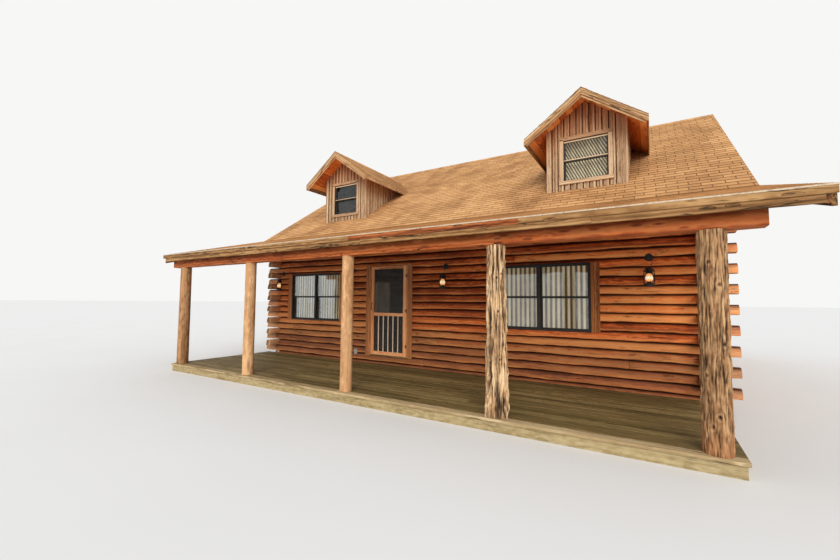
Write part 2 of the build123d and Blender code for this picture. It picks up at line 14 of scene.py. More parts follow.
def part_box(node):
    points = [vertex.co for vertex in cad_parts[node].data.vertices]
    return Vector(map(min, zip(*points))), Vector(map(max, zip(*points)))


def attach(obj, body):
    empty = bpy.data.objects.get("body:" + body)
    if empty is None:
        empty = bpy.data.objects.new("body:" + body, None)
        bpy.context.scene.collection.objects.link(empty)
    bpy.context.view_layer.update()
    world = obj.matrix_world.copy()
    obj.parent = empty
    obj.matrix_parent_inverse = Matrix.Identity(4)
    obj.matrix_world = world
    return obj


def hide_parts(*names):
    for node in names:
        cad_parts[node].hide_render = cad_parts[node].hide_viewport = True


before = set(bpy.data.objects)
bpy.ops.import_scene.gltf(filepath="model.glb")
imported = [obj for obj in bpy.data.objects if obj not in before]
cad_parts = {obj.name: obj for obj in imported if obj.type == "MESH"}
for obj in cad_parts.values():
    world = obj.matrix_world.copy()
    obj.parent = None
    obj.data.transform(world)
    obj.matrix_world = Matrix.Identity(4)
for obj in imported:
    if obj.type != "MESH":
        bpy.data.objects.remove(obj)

LOG = logging.getLogger("cabin")
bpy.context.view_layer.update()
NOISE_SEED = 7
GRAIN_SHIFT = 60.0
HEART_SHIFT = 0.12
BOARD_EASE = 0.002
SAME_POINT = 1e-5
UPSTAIRS = 3.5
Colour = tuple[float, float, float]
Profile = tuple[tuple[float, float], ...]
Box = tuple[Vector, Vector]
Level = Callable[[float, float], float]
Socket = bpy.types.NodeSocket


class Grain(Enum):
    """Where a timber finish takes the direction of its grain from."""

    PIECE = "piece"
    ALONG_X = "x"
    ALONG_Y = "y"
    ALONG_Z = "z"


@dataclass(frozen=True)
class Sizes:
    """Main sizes of the cabin in metres, the same as the frame's."""

    half_length: float = 4.877
    half_depth: float = 4.270
    log_base: float = 0.0656
    course: float = 0.1524
    wall_top: float = 2.9612
    ridge: float = 6.21703
    break_height: float = 3.3177
    main_slope: float = 0.679
    porch_slope: float = 0.259
    half_roof: float = 5.5055
    eave_front: float = -6.954
    eave_back: float = 4.720
    skin: float = 0.060
    dormer_centres: tuple[float, float] = (-3.068, 3.097)
    dormer_half: float = 0.700
    dormer_front: float = -3.510
    dormer_eave: float = -3.978
    dormer_span: float = 1.072
    dormer_peak: float = 5.62303
    dormer_slope: float = 0.7276
    dormer_skin: float = 0.050

    def roof_at(self, y: float) -> float:
        """Return the height of the roof's upper face over y.

        Args:
            y: The place from front to back.

        Returns:
            The height.
        """
        if y < -self.half_depth:
            return self.break_height - self.porch_slope * (-self.half_depth - y)
        return self.ridge - self.main_slope * abs(y)

    def valley(self, z: float) -> float:
        """Return the y at which the front slope reaches height z."""
        return -(self.ridge - z) / self.main_slope


S = Sizes()


class Graph:
    """A material's node tree, built by short calls."""

    def __init__(self, name: str) -> None:
        """Start an empty node tree.

        Args:
            name: The material's name.
        """
        self.material = bpy.data.materials.new(name)
        self.material.use_nodes = True
        self.tree = self.material.node_tree
        self.tree.nodes.clear()
        self.output = self.node("ShaderNodeOutputMaterial")

    def node(self, kind: str, **settings: object) -> bpy.types.Node:
        """Add a node and set its properties.

        Args:
            kind: The node's type name.
            settings: Properties of the node.

        Returns:
            The new node.
        """
        made = self.tree.nodes.new(kind)
        for key, value in settings.items():
            setattr(made, key, value)
        return made

    def feed(self, socket: Socket, value: object) -> None:
        """Set a socket to a number or colour, or link another socket to it.

        Args:
            socket: The input.
            value: A number, a tuple or an output socket.
        """
        if isinstance(value, Socket):
            self.tree.links.new(value, socket)
        elif isinstance(value, tuple) and len(value) == 3 and socket.type == "RGBA":
            socket.default_value = (*value, 1.0)
        else:
            socket.default_value = value

    def math(self, operation: str, *values: object, clamp: bool = False) -> Socket:
        """Return the result of a Math node.

        Args:
            operation: The node's operation.
            values: Its inputs in order.
            clamp: Whether the result is held between 0 and 1.

        Returns:
            The result socket.
        """
        made = self.node("ShaderNodeMath", operation=operation, use_clamp=clamp)
        for socket, value in zip(made.inputs, values):
            self.feed(socket, value)
        return made.outputs[0]

    def mix(self, factor: object, first: object, second: object) -> Socket:
        """Return two colours mixed.

        Args:
            factor: How much of the second there is.
            first: The first colour.
            second: The second colour.

        Returns:
            The mixed colour's socket.
        """
        made = self.node("ShaderNodeMix", data_type="RGBA")
        self.feed(made.inputs[0], factor)
        self.feed(made.inputs[6], first)
        self.feed(made.inputs[7], second)
        return made.outputs[2]

    def stretched(self, vector: object, scale: Sequence[float], shift: Sequence[float] = (0, 0, 0)) -> Socket:
        """Return a place stretched along its axes.

        Args:
            vector: The place.
            scale: How many units a metre becomes on each axis.
            shift: What is added after that.

        Returns:
            The stretched place's socket.
        """
        made = self.node("ShaderNodeMapping")
        self.feed(made.inputs[0], vector)
        made.inputs["Scale"].default_value = scale
        made.inputs["Location"].default_value = shift
        return made.outputs[0]

    def noise(self, vector: object, scale: float = 1.0, detail: float = 2.0, roughness: float = 0.5,
              distortion: float = 0.0) -> Socket:
        """Return a noise value between 0 and 1 at a place.

        Args:
            vector: The place.
            scale: Lumps to a unit.
            detail: How many finer layers there are.
            roughness: How strong the finer layers are.
            distortion: How far it swirls.

        Returns:
            The value's socket.
        """
        made = self.node("ShaderNodeTexNoise")
        self.feed(made.inputs["Vector"], vector)
        made.inputs["Scale"].default_value = scale
        made.inputs["Detail"].default_value = detail
        made.inputs["Roughness"].default_value = roughness
        made.inputs["Distortion"].default_value = distortion
        return made.outputs["Fac"]

    def ramp(self, value: object, stops: Sequence[tuple[float, Colour]]) -> Socket:
        """Return a colour picked from stops by a value.

        Args:
            value: Where on the ramp.
            stops: Positions and their colours, in order.

        Returns:
            The colour's socket.
        """
        made = self.node("ShaderNodeValToRGB")
        self.feed(made.inputs[0], value)
        bar = made.color_ramp
        while len(bar.elements) < len(stops):
            bar.elements.new(0.5)
        for element, (place, colour) in zip(bar.elements, stops):
            element.position = place
            element.color = (*colour, 1.0)
        return made.outputs[0]

    def span(self, value: object, low: float, high: float, to_low: float = 0.0, to_high: float = 1.0) -> Socket:
        """Return a value mapped smoothly from one span to another, and held there.

        Args:
            value: The value.
            low: Start of its span.
            high: End of its span.
            to_low: What the start becomes.
            to_high: What the end becomes.

        Returns:
            The mapped value's socket.
        """
        made = self.node("ShaderNodeMapRange", interpolation_type="SMOOTHSTEP")
        self.feed(made.inputs[0], value)
        for socket, number in zip(made.inputs[1:5], (low, high, to_low, to_high)):
            socket.default_value = number
        return made.outputs[0]

    def near(self, value: object, centre: float, width: float) -> Socket:
        """Return 1 where a value is at a centre, falling to 0 at a width from it."""
        away = self.math("ABSOLUTE", self.math("SUBTRACT", value, centre))
        return self.span(away, 0.0, width, 1.0, 0.0)

    def relief(self, height: object, strength: float, distance: float) -> Socket:
        """Return a normal bumped by a height.

        Args:
            height: The height.
            strength: How much of the bump shows.
            distance: Depth of the bump in metres.

        Returns:
            The normal's socket.
        """
        made = self.node("ShaderNodeBump")
        made.inputs["Strength"].default_value = strength
        made.inputs["Distance"].default_value = distance
        self.feed(made.inputs["Height"], height)
        return made.outputs[0]

    def attribute(self, name: str, output: str) -> Socket:
        """Return one output of a named mesh attribute."""
        return self.node("ShaderNodeAttribute", attribute_name=name).outputs[output]

    def place(self) -> Socket:
        """Return the place on the building in metres."""
        return self.node("ShaderNodeTexCoord").outputs["Object"]

    def split(self, vector: object) -> tuple[Socket, ...]:
        """Return the three parts of a vector.

        Args:
            vector: The vector.

        Returns:
            The parts' sockets.
        """
        made = self.node("ShaderNodeSeparateXYZ")
        self.feed(made.inputs[0], vector)
        return tuple(made.outputs)

    def axes(self) -> tuple[Socket, ...]:
        """Return the place on the building as X, Y and Z."""
        return self.split(self.place())

    def threads(self, scale: float) -> list[Socket]:
        """Return the waves of the threads across X and across Z.

        Args:
            scale: How fine they are.

        Returns:
            One socket for each way.
        """
        found = []
        for direction in ("X", "Z"):
            thread = self.node("ShaderNodeTexWave", bands_direction=direction)
            self.feed(thread.inputs["Vector"], self.place())
            thread.inputs["Scale"].default_value = scale
            found.append(thread.outputs["Fac"])
        return found

    def blend(self, amount: object, first: bpy.types.Node, second: bpy.types.Node) -> None:
        """Finish with two shaders mixed.

        Args:
            amount: How much of the second there is.
            first: The first shader's node.
            second: The second shader's node.
        """
        made = self.node("ShaderNodeMixShader")
        for socket, value in zip(made.inputs, (amount, first.outputs[0], second.outputs[0])):
            self.feed(socket, value)
        self.feed(self.output.inputs[0], made.outputs[0])

    def surface(self, colour: object, roughness: object, normal: object = None, **sockets: float) -> bpy.types.Node:
        """Finish with a Principled surface.

        Args:
            colour: Base colour.
            roughness: Roughness, 0 to 1.
            normal: A bumped normal, if there is one.
            sockets: Other inputs of the shader, with underscores for spaces.

        Returns:
            The shader node.
        """
        made = self.node("ShaderNodeBsdfPrincipled")
        self.feed(made.inputs["Base Color"], colour)
        self.feed(made.inputs["Roughness"], roughness)
        if normal is not None:
            self.feed(made.inputs["Normal"], normal)
        for key, value in sockets.items():
            made.inputs[key.replace("_", " ")].default_value = value
        self.tree.links.new(made.outputs[0], self.output.inputs[0])
        return made


@dataclass(frozen=True)
class Finish:
    """A finish with its material's name and its slot; the material is made once and then shared."""

    name: str
    slot: str
    made: ClassVar[dict[str, bpy.types.Material]] = {}

    def build(self) -> bpy.types.Material:
        """Build the finish's material.

        Returns:
            The material.
        """
        raise NotImplementedError

    def material(self) -> bpy.types.Material:
        """Return the finish's material, building it on first use.

        Returns:
            The material.
        """
        if self.name not in Finish.made:
            Finish.made[self.name] = self.build()
        return Finish.made[self.name]


@dataclass(frozen=True)
class Timber(Finish):
    """Sawn or hewn wood: three tones, grain, knots, drying checks and weathering, with painted shade and highlights
    where a finish asks for them.
    """

    dark: Colour
    mid: Colour
    light: Colour
    grain: Grain = Grain.PIECE
    fineness: float = 1.0
    checks: float = 0.6
    knots: float = 0.6
    roughness: float = 0.72
    depth: float = 0.5
    spread: float = 0.35
    wear_and_shade: Colour | None = None
    wear_and_shade_low: float = 0.0
    wear_and_shade_high: float = 1.0
    shade_along_x: Colour | None = None
    shade_along_x_from: float = 0.0
    shade_along_x_to: float = 1.0
    board: float = 0.15
    tip: Colour | None = None
    tip_axis: int = 0
    tip_from: float = 4.84
    coarse: float = 1.0
    crack: float = 0.016
    knotty: float = 1.0
    high: Colour | None = None
    high_from: float = 0.0
    high_to: float = 1.0

    def coordinates(self, g: Graph) -> tuple[Socket, Socket]:
        """Return where on the wood each point is, length first, and the tint of its board.

        Args:
            g: The material's nodes.

        Returns:
            The place and the tint.
        """
        if self.grain is Grain.PIECE:
            return g.attribute("grain", "Vector"), g.attribute("tint", "Fac")
        x, y, z = g.axes()
        order = {Grain.ALONG_X: (x, y, z), Grain.ALONG_Y: (y, x, z), Grain.ALONG_Z: (z, x, y)}[self.grain]
        joined = g.node("ShaderNodeCombineXYZ")
        number = g.math("FLOOR", g.math("DIVIDE", g.math("ADD", order[1], 0.013), self.board))
        cell = g.node("ShaderNodeTexWhiteNoise", noise_dimensions="1D")
        g.feed(cell.inputs["W"], number)
        g.feed(joined.inputs[0], g.math("MULTIPLY_ADD", cell.outputs[0], 9.0, order[0]))
        g.feed(joined.inputs[1], order[1])
        g.feed(joined.inputs[2], order[2])
        return joined.outputs[0], cell.outputs[0]

    def bent(self, g: Graph, where: Socket) -> tuple[Socket, Socket]:
        """Return how far each point is from the nearest knot, and the grain bent round the knots.

        Args:
            g: The material's nodes.
            where: Where on the wood each point is.

        Returns:
            The distance and the bent place.
        """
        across = 6.0 * self.knotty
        cell = g.node("ShaderNodeTexVoronoi", feature="F1")
        g.feed(cell.inputs["Vector"], g.stretched(where, (1.5 * self.knotty, across, across)))
        cell.inputs["Scale"].default_value = 1.0
        away = cell.outputs["Distance"]
        pushed = g.span(away, 0.0, 0.45, 1.0, 0.0)
        shift = g.node("ShaderNodeCombineXYZ")
        g.feed(shift.inputs[1], g.math("MULTIPLY", pushed, 0.03))
        g.feed(shift.inputs[2], g.math("MULTIPLY", pushed, 0.02))
        bend = g.node("ShaderNodeVectorMath", operation="ADD")
        g.feed(bend.inputs[0], where)
        g.feed(bend.inputs[1], shift.outputs[0])
        return away, bend.outputs[0]

    def toned(self, g: Graph, wood: Socket, tint: Socket, streak: Socket, broad: Socket, fibre: Socket) -> Socket:
        """Return the wood's colour by its growth rings, streaks and fibres.

        Args:
            g: The material's nodes.
            wood: Where on the wood each point is.
            tint: Tint of the board.
            streak: Streaks along the grain.
            broad: Broad bands.
            fibre: Fine fibres.

        Returns:
            The colour.
        """
        rings = g.node("ShaderNodeTexWave", wave_type="RINGS", rings_direction="X")
        g.feed(rings.inputs["Vector"], g.stretched(wood, (0.5, 1, 1)))
        rings.inputs["Scale"].default_value = 16 * self.fineness / self.coarse
        rings.inputs["Distortion"].default_value = 3.5
        rings.inputs["Detail"].default_value = 2.0
        rings.inputs["Detail Scale"].default_value = 1.4
        tone = g.math("MULTIPLY_ADD", rings.outputs["Fac"], 0.22, g.math("MULTIPLY", streak, 0.62))
        tone = g.math("MULTIPLY_ADD", broad, 0.34, tone)
        tone = g.math("MULTIPLY_ADD", g.math("SUBTRACT", tint, 0.5), self.spread, tone)
        colour = g.ramp(tone, [(0.34, self.dark), (0.58, self.mid), (0.84, self.light)])
        return g.mix(g.math("MULTIPLY", g.span(fibre, 0.45, 0.8), 0.28), colour, self.light)

    def weathered_and_shaded(self, g: Graph, colour: Socket, streak: Socket, broad: Socket) -> Socket:
        """Return the colour with painted shade along X, darker near the ground from wear and painted shade, and changed
        high up.

        Args:
            g: The material's nodes.
            colour: The clean wood's colour.
            streak: Streaks along the grain.
            broad: Broad bands.

        Returns:
            The weathered colour.
        """
        # painted shade along X: the colour darkens towards low X
        if self.shade_along_x is not None:
            along = g.math("MULTIPLY_ADD", broad, 1.2, g.axes()[0])
            amount = g.math("MULTIPLY", g.span(along, self.shade_along_x_from, self.shade_along_x_to, 1.0, 0.0), 0.8)
            colour = g.mix(amount, colour, g.mix(0.55, colour, self.shade_along_x))
        # darker near the ground: wear, and on the front logs also painted shade
        if self.wear_and_shade is not None:
            height = g.math("MULTIPLY_ADD", streak, 0.35, g.axes()[2])
            amount = g.span(height, self.wear_and_shade_low, self.wear_and_shade_high, 0.85, 0.0)
            colour = g.mix(amount, colour, g.mix(0.15, self.wear_and_shade, colour))
        # changed high up: on the header this is painted shade under the fascia, on the dormer boards a redder tone
        if self.high is not None:
            height = g.math("MULTIPLY_ADD", streak, 0.5, g.axes()[2])
            amount = g.span(height, self.high_from, self.high_to, 0.0, 0.8)
            colour = g.mix(amount, colour, g.mix(0.5, colour, self.high))
        return colour

    def darker(self, share: float) -> Colour:
        """Return a share of the dark tone."""
        return tuple(part * share for part in self.dark)

    def build(self) -> bpy.types.Material:
        """Build the wood's material.

        Returns:
            The material.
        """
        g = Graph(self.name)
        where, tint = self.coordinates(g)
        away, wood = self.bent(g, where)
        fine, across = self.fineness, 30 * self.fineness / self.coarse
        streak = g.noise(g.stretched(wood, (1.6 * fine, across, across)), 1.0, 3.0, 0.6, 0.4)
        broad = g.noise(g.stretched(wood, (0.55, 5, 5)), 1.0, 2.0, 0.5)
        fibre = g.noise(g.stretched(wood, (5 * fine, 120 * fine, 120 * fine)), 1.0, 2.0, 0.6)
        colour = self.weathered_and_shaded(g, self.toned(g, wood, tint, streak, broad, fibre), streak, broad)
        across = 24 / self.coarse
        line = g.noise(g.stretched(wood, (0.9, across, across), (3.1, 1.7, 0.4)), 1.0, 3.0, 0.55, 0.3)
        patch = g.span(g.noise(g.stretched(wood, (1.1, 7, 7), (0.3, 5.1, 2.2)), 1.0, 1.0), 0.46, 0.60)
        check = g.math("MULTIPLY", g.near(line, 0.5, self.crack), patch)
        colour = g.mix(g.math("MULTIPLY", check, self.checks), colour, self.darker(0.32))
        knot = g.span(away, 0.05, 0.17, 1.0, 0.0)
        ring = g.near(away, 0.19, 0.05)
        mark = g.math("MAXIMUM", g.math("MULTIPLY", knot, 0.75), g.math("MULTIPLY", ring, 0.35))
        colour = g.mix(g.math("MULTIPLY", mark, self.knots), colour, self.darker(0.5))
        if self.tip is not None:
            reach = g.math("MULTIPLY_ADD", streak, 0.1, g.math("ABSOLUTE", g.axes()[self.tip_axis]))
            amount = g.span(reach, self.tip_from, self.tip_from + 0.12, 0.0, 0.75)
            colour = g.mix(amount, colour, g.mix(0.45, self.tip, colour))
        if self.grain is Grain.PIECE:
            # painted light: a point marked below 0 gets a painted highlight, one marked above 0 gets painted shade
            deep = g.attribute("painted_light", "Fac")
            colour = g.mix(g.math("MULTIPLY", deep, -0.75, clamp=True), colour, self.light)
            colour = g.mix(g.math("MULTIPLY", deep, 0.95, clamp=True), colour, self.darker(0.12))
        height = g.math("MULTIPLY_ADD", streak, 0.55, g.math("MULTIPLY", fibre, 0.25))
        height = g.math("SUBTRACT", height, g.math("MULTIPLY", check, 1.1 * self.checks))
        height = g.math("MULTIPLY_ADD", knot, 0.35 * self.knots, height)
        gloss = g.span(streak, 0.2, 0.8, self.roughness + 0.1, self.roughness - 0.08)
        g.surface(colour, gloss, g.relief(height, self.depth, 0.006), Specular_IOR_Level=0.3)
        return g.material


@dataclass(frozen=True)
class Shingle(Finish):
    """Mineral-faced roof shingles: tone of the tab, its granules and weather streaks, with painted shade at the butts
    and in the slots.
    """

    dark: Colour
    mid: Colour
    light: Colour

    def build(self) -> bpy.types.Material:
        """Build the shingles' material.

        Returns:
            The material.
        """
        g = Graph(self.name)
        where, tint = g.attribute("grain", "Vector"), g.attribute("tint", "Fac")
        spot = g.noise(g.place(), 260.0, 2.0, 0.7)
        streak = g.noise(g.stretched(g.place(), (2.4, 0.5, 0.5)), 1.0, 3.0, 0.6, 0.3)
        blotch = g.noise(g.place(), 0.9, 3.0, 0.6)
        tone = g.math("MULTIPLY_ADD", spot, 0.40, g.math("MULTIPLY", tint, 0.12))
        tone = g.math("MULTIPLY_ADD", streak, 0.24, tone)
        tone = g.math("MULTIPLY_ADD", blotch, 0.46, tone)
        colour = g.ramp(tone, [(0.39, self.dark), (0.65, self.mid), (0.90, self.light)])
        # painted shade along each tab's butt and just above it, and in the slots where the strip beneath shows
        covered = g.span(g.split(where)[1], 0.005, 0.017, 0.66, 0.0)
        shade = g.math("MAXIMUM", covered, g.attribute("painted_light", "Fac"))
        colour = g.mix(shade, colour, tuple(part * 0.3 for part in self.dark))
        g.surface(colour, 0.93, g.relief(spot, 0.45, 0.003), Specular_IOR_Level=0.2)
        return g.material


@dataclass(frozen=True)
class Metal(Finish):
    """Painted metal with soft mottling and faint grain."""

    colour: Colour
    worn: Colour
    roughness: float = 0.45

    def build(self) -> bpy.types.Material:
        """Build the metal's material.

        Returns:
            The material.
        """
        g = Graph(self.name)
        mottle = g.noise(g.place(), 34.0, 3.0, 0.6)
        fine = g.noise(g.place(), 420.0, 2.0, 0.6)
        colour = g.mix(g.span(mottle, 0.42, 0.78), self.colour, self.worn)
        gloss = g.span(mottle, 0.25, 0.75, self.roughness - 0.06, self.roughness + 0.14)
        g.surface(colour, gloss, g.relief(fine, 0.12, 0.0006))
        return g.material


@dataclass(frozen=True)
class Pane(Finish):
    """Window glass: clear, with a soft reflection that grows at a slant and faint dust."""

    tint: Colour
    shine: float = 0.16
    upstairs: float = 0.2

    def build(self) -> bpy.types.Material:
        """Build the glass.

        Returns:
            The material.
        """
        g = Graph(self.name)
        clear = g.node("ShaderNodeBsdfTransparent")
        clear.inputs[0].default_value = (*self.tint, 1.0)
        gloss = g.node("ShaderNodeBsdfGlossy")
        gloss.inputs["Color"].default_value = (0.86, 0.88, 0.90, 1.0)
        gloss.inputs["Roughness"].default_value = 0.03
        ripple = g.noise(g.stretched(g.place(), (3.0, 3.0, 1.4)), 1.0, 1.0, 0.4)
        g.feed(gloss.inputs["Normal"], g.relief(ripple, 0.08, 0.05))
        slant = g.node("ShaderNodeLayerWeight")
        slant.inputs["Blend"].default_value = 0.35
        dust = g.span(g.noise(g.place(), 7.0, 3.0, 0.6), 0.4, 0.8, 0.0, 0.06)
        amount = g.math("ADD", g.math("MULTIPLY_ADD", slant.outputs["Fresnel"], 0.35, self.shine), dust, clamp=True)
        g.blend(g.math("MULTIPLY", amount, g.span(g.axes()[2], 3.2, 3.4, 1.0, self.upstairs)), clear, gloss)
        return g.material


@dataclass(frozen=True)
class Cloth(Finish):
    """Thin woven curtain cloth with its weave, soft tone, painted shade in its folds and a painted glow for light
    coming through.
    """

    colour: Colour
    shade: Colour
    fold_shade: Colour
    # strength of the cloth's painted glow
    through: float = 0.30

    def build(self) -> bpy.types.Material:
        """Build the cloth.

        Returns:
            The material.
        """
        g = Graph(self.name)
        weave = g.math("MULTIPLY", *g.threads(130.0))
        broad = g.noise(g.stretched(g.place(), (9, 9, 0.7)), 1.0, 2.0, 0.5)
        colour = g.mix(g.span(broad, 0.3, 0.75), self.colour, self.shade)
        colour = g.mix(g.math("MULTIPLY", weave, 0.18), colour, self.shade)
        # painted shade along the pleats, from the mesh's fold marks
        colour = g.mix(g.attribute("fold_shade", "Fac"), colour, self.fold_shade)
        made = g.surface(colour, 0.9, g.relief(weave, 0.25, 0.0008), Sheen_Weight=0.2)
        # painted glow: the cloth shines with its own colour to stand for light coming through from the room
        g.feed(made.inputs["Emission Color"], colour)
        made.inputs["Emission Strength"].default_value = self.through
        return g.material


@dataclass(frozen=True)
class Mesh(Finish):
    """Dark woven insect screen that lets part of the view through."""

    colour: Colour
    cover: float = 0.62

    def build(self) -> bpy.types.Material:
        """Build the screen cloth.

        Returns:
            The material.
        """
        g = Graph(self.name)
        weave = g.math("MAXIMUM", *g.threads(210.0))
        sag = g.noise(g.place(), 5.0, 2.0, 0.5)
        amount = g.math("MULTIPLY_ADD", weave, 0.35, g.math("MULTIPLY_ADD", sag, 0.1, self.cover - 0.25), clamp=True)
        solid = g.node("ShaderNodeBsdfPrincipled")
        g.feed(solid.inputs["Base Color"], self.colour)
        solid.inputs["Roughness"].default_value = 0.6
        clear = g.node("ShaderNodeBsdfTransparent")
        g.blend(amount, clear, solid)
        return g.material


@dataclass(frozen=True)
class Cast(Finish):
    """Poured or moulded stuff such as concrete: mottled, pitted and stained."""

    colour: Colour
    stain: Colour
    roughness: float = 0.9
    pits: float = 0.4

    def build(self) -> bpy.types.Material:
        """Build the cast surface.

        Returns:
            The material.
        """
        g = Graph(self.name)
        mottle = g.noise(g.place(), 3.5, 4.0, 0.6)
        fine = g.noise(g.place(), 90.0, 3.0, 0.7)
        colour = g.mix(g.span(mottle, 0.35, 0.75), self.colour, self.stain)
        colour = g.mix(g.math("MULTIPLY", g.span(fine, 0.55, 0.75), 0.25), colour, self.stain)
        g.surface(colour, self.roughness, g.relief(fine, self.pits, 0.004))
        return g.material


@dataclass(frozen=True)
class Flame(Finish):
    """A warm lamp globe that gives a little light of its own."""

    colour: Colour
    strength: float

    def build(self) -> bpy.types.Material:
        """Build the lit globe.

        Returns:
            The material.
        """
        g = Graph(self.name)
        mottle = g.noise(g.place(), 40.0, 2.0, 0.5)
        # the lamp's glow, painted ring by ring: a pale core and deeper orange ends
        edge = g.span(g.math("MULTIPLY_ADD", mottle, 0.4, g.attribute("painted_light", "Fac")), 0.2, 1.0)
        colour = g.mix(edge, (1.0, 0.90, 0.62), self.colour)
        made = g.surface(colour, 0.35)
        g.feed(made.inputs["Emission Color"], colour)
        made.inputs["Emission Strength"].default_value = self.strength
        return g.material


# front-log colour lifted past the logs' own stain to make up for the porch roof's shade: painted light; its shade along
# X is painted shade, and its darkening near the ground is wear and painted shade
STAINED_WITH_PAINTED_LIGHT = Timber("stained_logs", "stained_logs", (0.30, 0.040, 0.005), (0.92, 0.185, 0.032), (1.0, 0.38, 0.11),
                 checks=1.0, knots=1.0, depth=0.7, spread=0.62, wear_and_shade=(0.13, 0.062, 0.028), wear_and_shade_low=0.70,
                 wear_and_shade_high=1.45, shade_along_x=(0.13, 0.046, 0.015), shade_along_x_from=-1.0, shade_along_x_to=4.3, tip=(0.62, 0.36, 0.19),
                 coarse=1.4, crack=0.024, knotty=1.9)
STAINED_SIDE = Timber("stained_side_logs", "stained_logs", (0.22, 0.06, 0.016), (0.52, 0.18, 0.06),
                      (0.76, 0.38, 0.18), checks=0.8, knots=0.8, depth=0.7, spread=0.4,
                      wear_and_shade=(0.24, 0.15, 0.08), wear_and_shade_low=0.35, wear_and_shade_high=1.1, tip=(0.60, 0.36, 0.19), tip_axis=1,
                      tip_from=4.24)
END_GRAIN = Timber("log_end_grain", "stained_logs", (0.26, 0.12, 0.05), (0.56, 0.31, 0.15), (0.76, 0.50, 0.28),
                   checks=0.9, knots=0.2, depth=0.6, spread=0.3)
WEATHERED = Timber("weathered_logs", "weathered_logs", (0.16, 0.055, 0.018), (0.38, 0.15, 0.06),
                   (0.56, 0.29, 0.14), checks=0.8, knots=0.7, depth=0.6, spread=0.4, wear_and_shade=(0.22, 0.15, 0.09),
                   wear_and_shade_low=0.4, wear_and_shade_high=1.6)
TRIM = Timber("wall_trim", "stained_logs", (0.20, 0.055, 0.012), (0.46, 0.155, 0.04), (0.66, 0.29, 0.10),
              checks=0.4, knots=0.5)
DOOR_TRIM = Timber("door_trim", "stained_logs", (0.11, 0.032, 0.008), (0.29, 0.095, 0.028), (0.46, 0.19, 0.07),
                   checks=0.5, knots=0.5)
CEDAR = Timber("cedar", "cedar", (0.11, 0.056, 0.024), (0.45, 0.25, 0.117), (0.84, 0.61, 0.36),
               fineness=1.2, checks=0.9, knots=0.0, roughness=0.85, depth=1.2, spread=0.2)
RUGGED = Timber("rugged_cedar", "cedar", (0.08, 0.036, 0.014), (0.27, 0.13, 0.055), (0.58, 0.35, 0.17),
                fineness=1.2, checks=1.0, knots=0.0, roughness=0.85, depth=1.2, spread=0.2,
                wear_and_shade=(0.40, 0.15, 0.05), wear_and_shade_low=0.2, wear_and_shade_high=0.7)
POLE = Timber("peeled_pole", "peeled_pole", (0.22, 0.10, 0.036), (0.49, 0.25, 0.11), (0.72, 0.44, 0.22),
              fineness=0.8, checks=0.5, knots=0.5, depth=0.35, spread=0.25)
# its near-black high colour is painted shade on the header's upper part, under the fascia
BEAM = Timber("stained_beam", "stained_beam", (0.07, 0.012, 0.002), (0.38, 0.075, 0.012), (0.64, 0.19, 0.045),
              checks=1.0, knots=1.0, depth=0.8, spread=0.25, coarse=2.2, crack=0.024, knotty=2.6,
              high=(0.05, 0.009, 0.002), high_from=2.50, high_to=2.72)
FASCIA = Timber("fascia_wood", "fascia_wood", (0.065, 0.028, 0.008), (0.235, 0.108, 0.034), (0.46, 0.26, 0.105),
                checks=1.0, knots=1.0, roughness=0.8, depth=0.8, spread=0.2, coarse=2.6, crack=0.026, knotty=2.4)
STAINED_FASCIA = replace(FASCIA, name="stained_fascia", dark=(0.09, 0.018, 0.003), mid=(0.34, 0.085, 0.018),
                         light=(0.56, 0.22, 0.07))
DECKING = Timber("deck_wood", "deck_wood", (0.060, 0.042, 0.010), (0.145, 0.098, 0.028), (0.31, 0.225, 0.092),
                 checks=0.6, knots=0.3, roughness=0.75, depth=0.4, spread=0.3)
DECK_EDGE = Timber("deck_edge", "deck_wood", (0.15, 0.095, 0.04), (0.36, 0.25, 0.12), (0.58, 0.44, 0.25),
                   checks=0.9, knots=0.5, roughness=0.8, depth=0.5, coarse=1.6, crack=0.02)
DECK_FRAMING = Timber("deck_framing", "deck_wood", (0.2, 0.14, 0.06), (0.36, 0.27, 0.13), (0.5, 0.4, 0.22),
                      grain=Grain.ALONG_X)
FRAMING_X = Timber("framing_x", "framing", (0.40, 0.25, 0.12), (0.62, 0.43, 0.24), (0.78, 0.60, 0.38),
                   grain=Grain.ALONG_X, checks=0.2, knots=0.6, board=0.14)
FRAMING_Y = replace(FRAMING_X, name="framing_y", grain=Grain.ALONG_Y, board=0.3)
RAFTER = Timber("porch_rafter", "stained_beam", (0.14, 0.05, 0.016), (0.34, 0.14, 0.05), (0.54, 0.27, 0.12),
                grain=Grain.ALONG_Y, checks=0.5, knots=0.6, board=0.3)
SHEATHING = Timber("roof_boards", "stained_beam", (0.18, 0.05, 0.012), (0.48, 0.15, 0.04), (0.70, 0.30, 0.11),
                   checks=0.3, knots=0.7, spread=0.4)
BATTEN = Timber("board_batten", "board_batten", (0.18, 0.10, 0.052), (0.46, 0.29, 0.165), (0.68, 0.50, 0.32),
                fineness=1.1, checks=0.8, knots=0.4, roughness=0.85, depth=0.6, spread=0.3,
                high=(0.50, 0.15, 0.04), high_from=4.6, high_to=5.6)
BOARDING = Timber("boarding", "board_batten", (0.13, 0.06, 0.026), (0.34, 0.175, 0.08), (0.53, 0.31, 0.17),
                  grain=Grain.ALONG_Z, checks=0.7, knots=0.4, roughness=0.85, board=0.142)
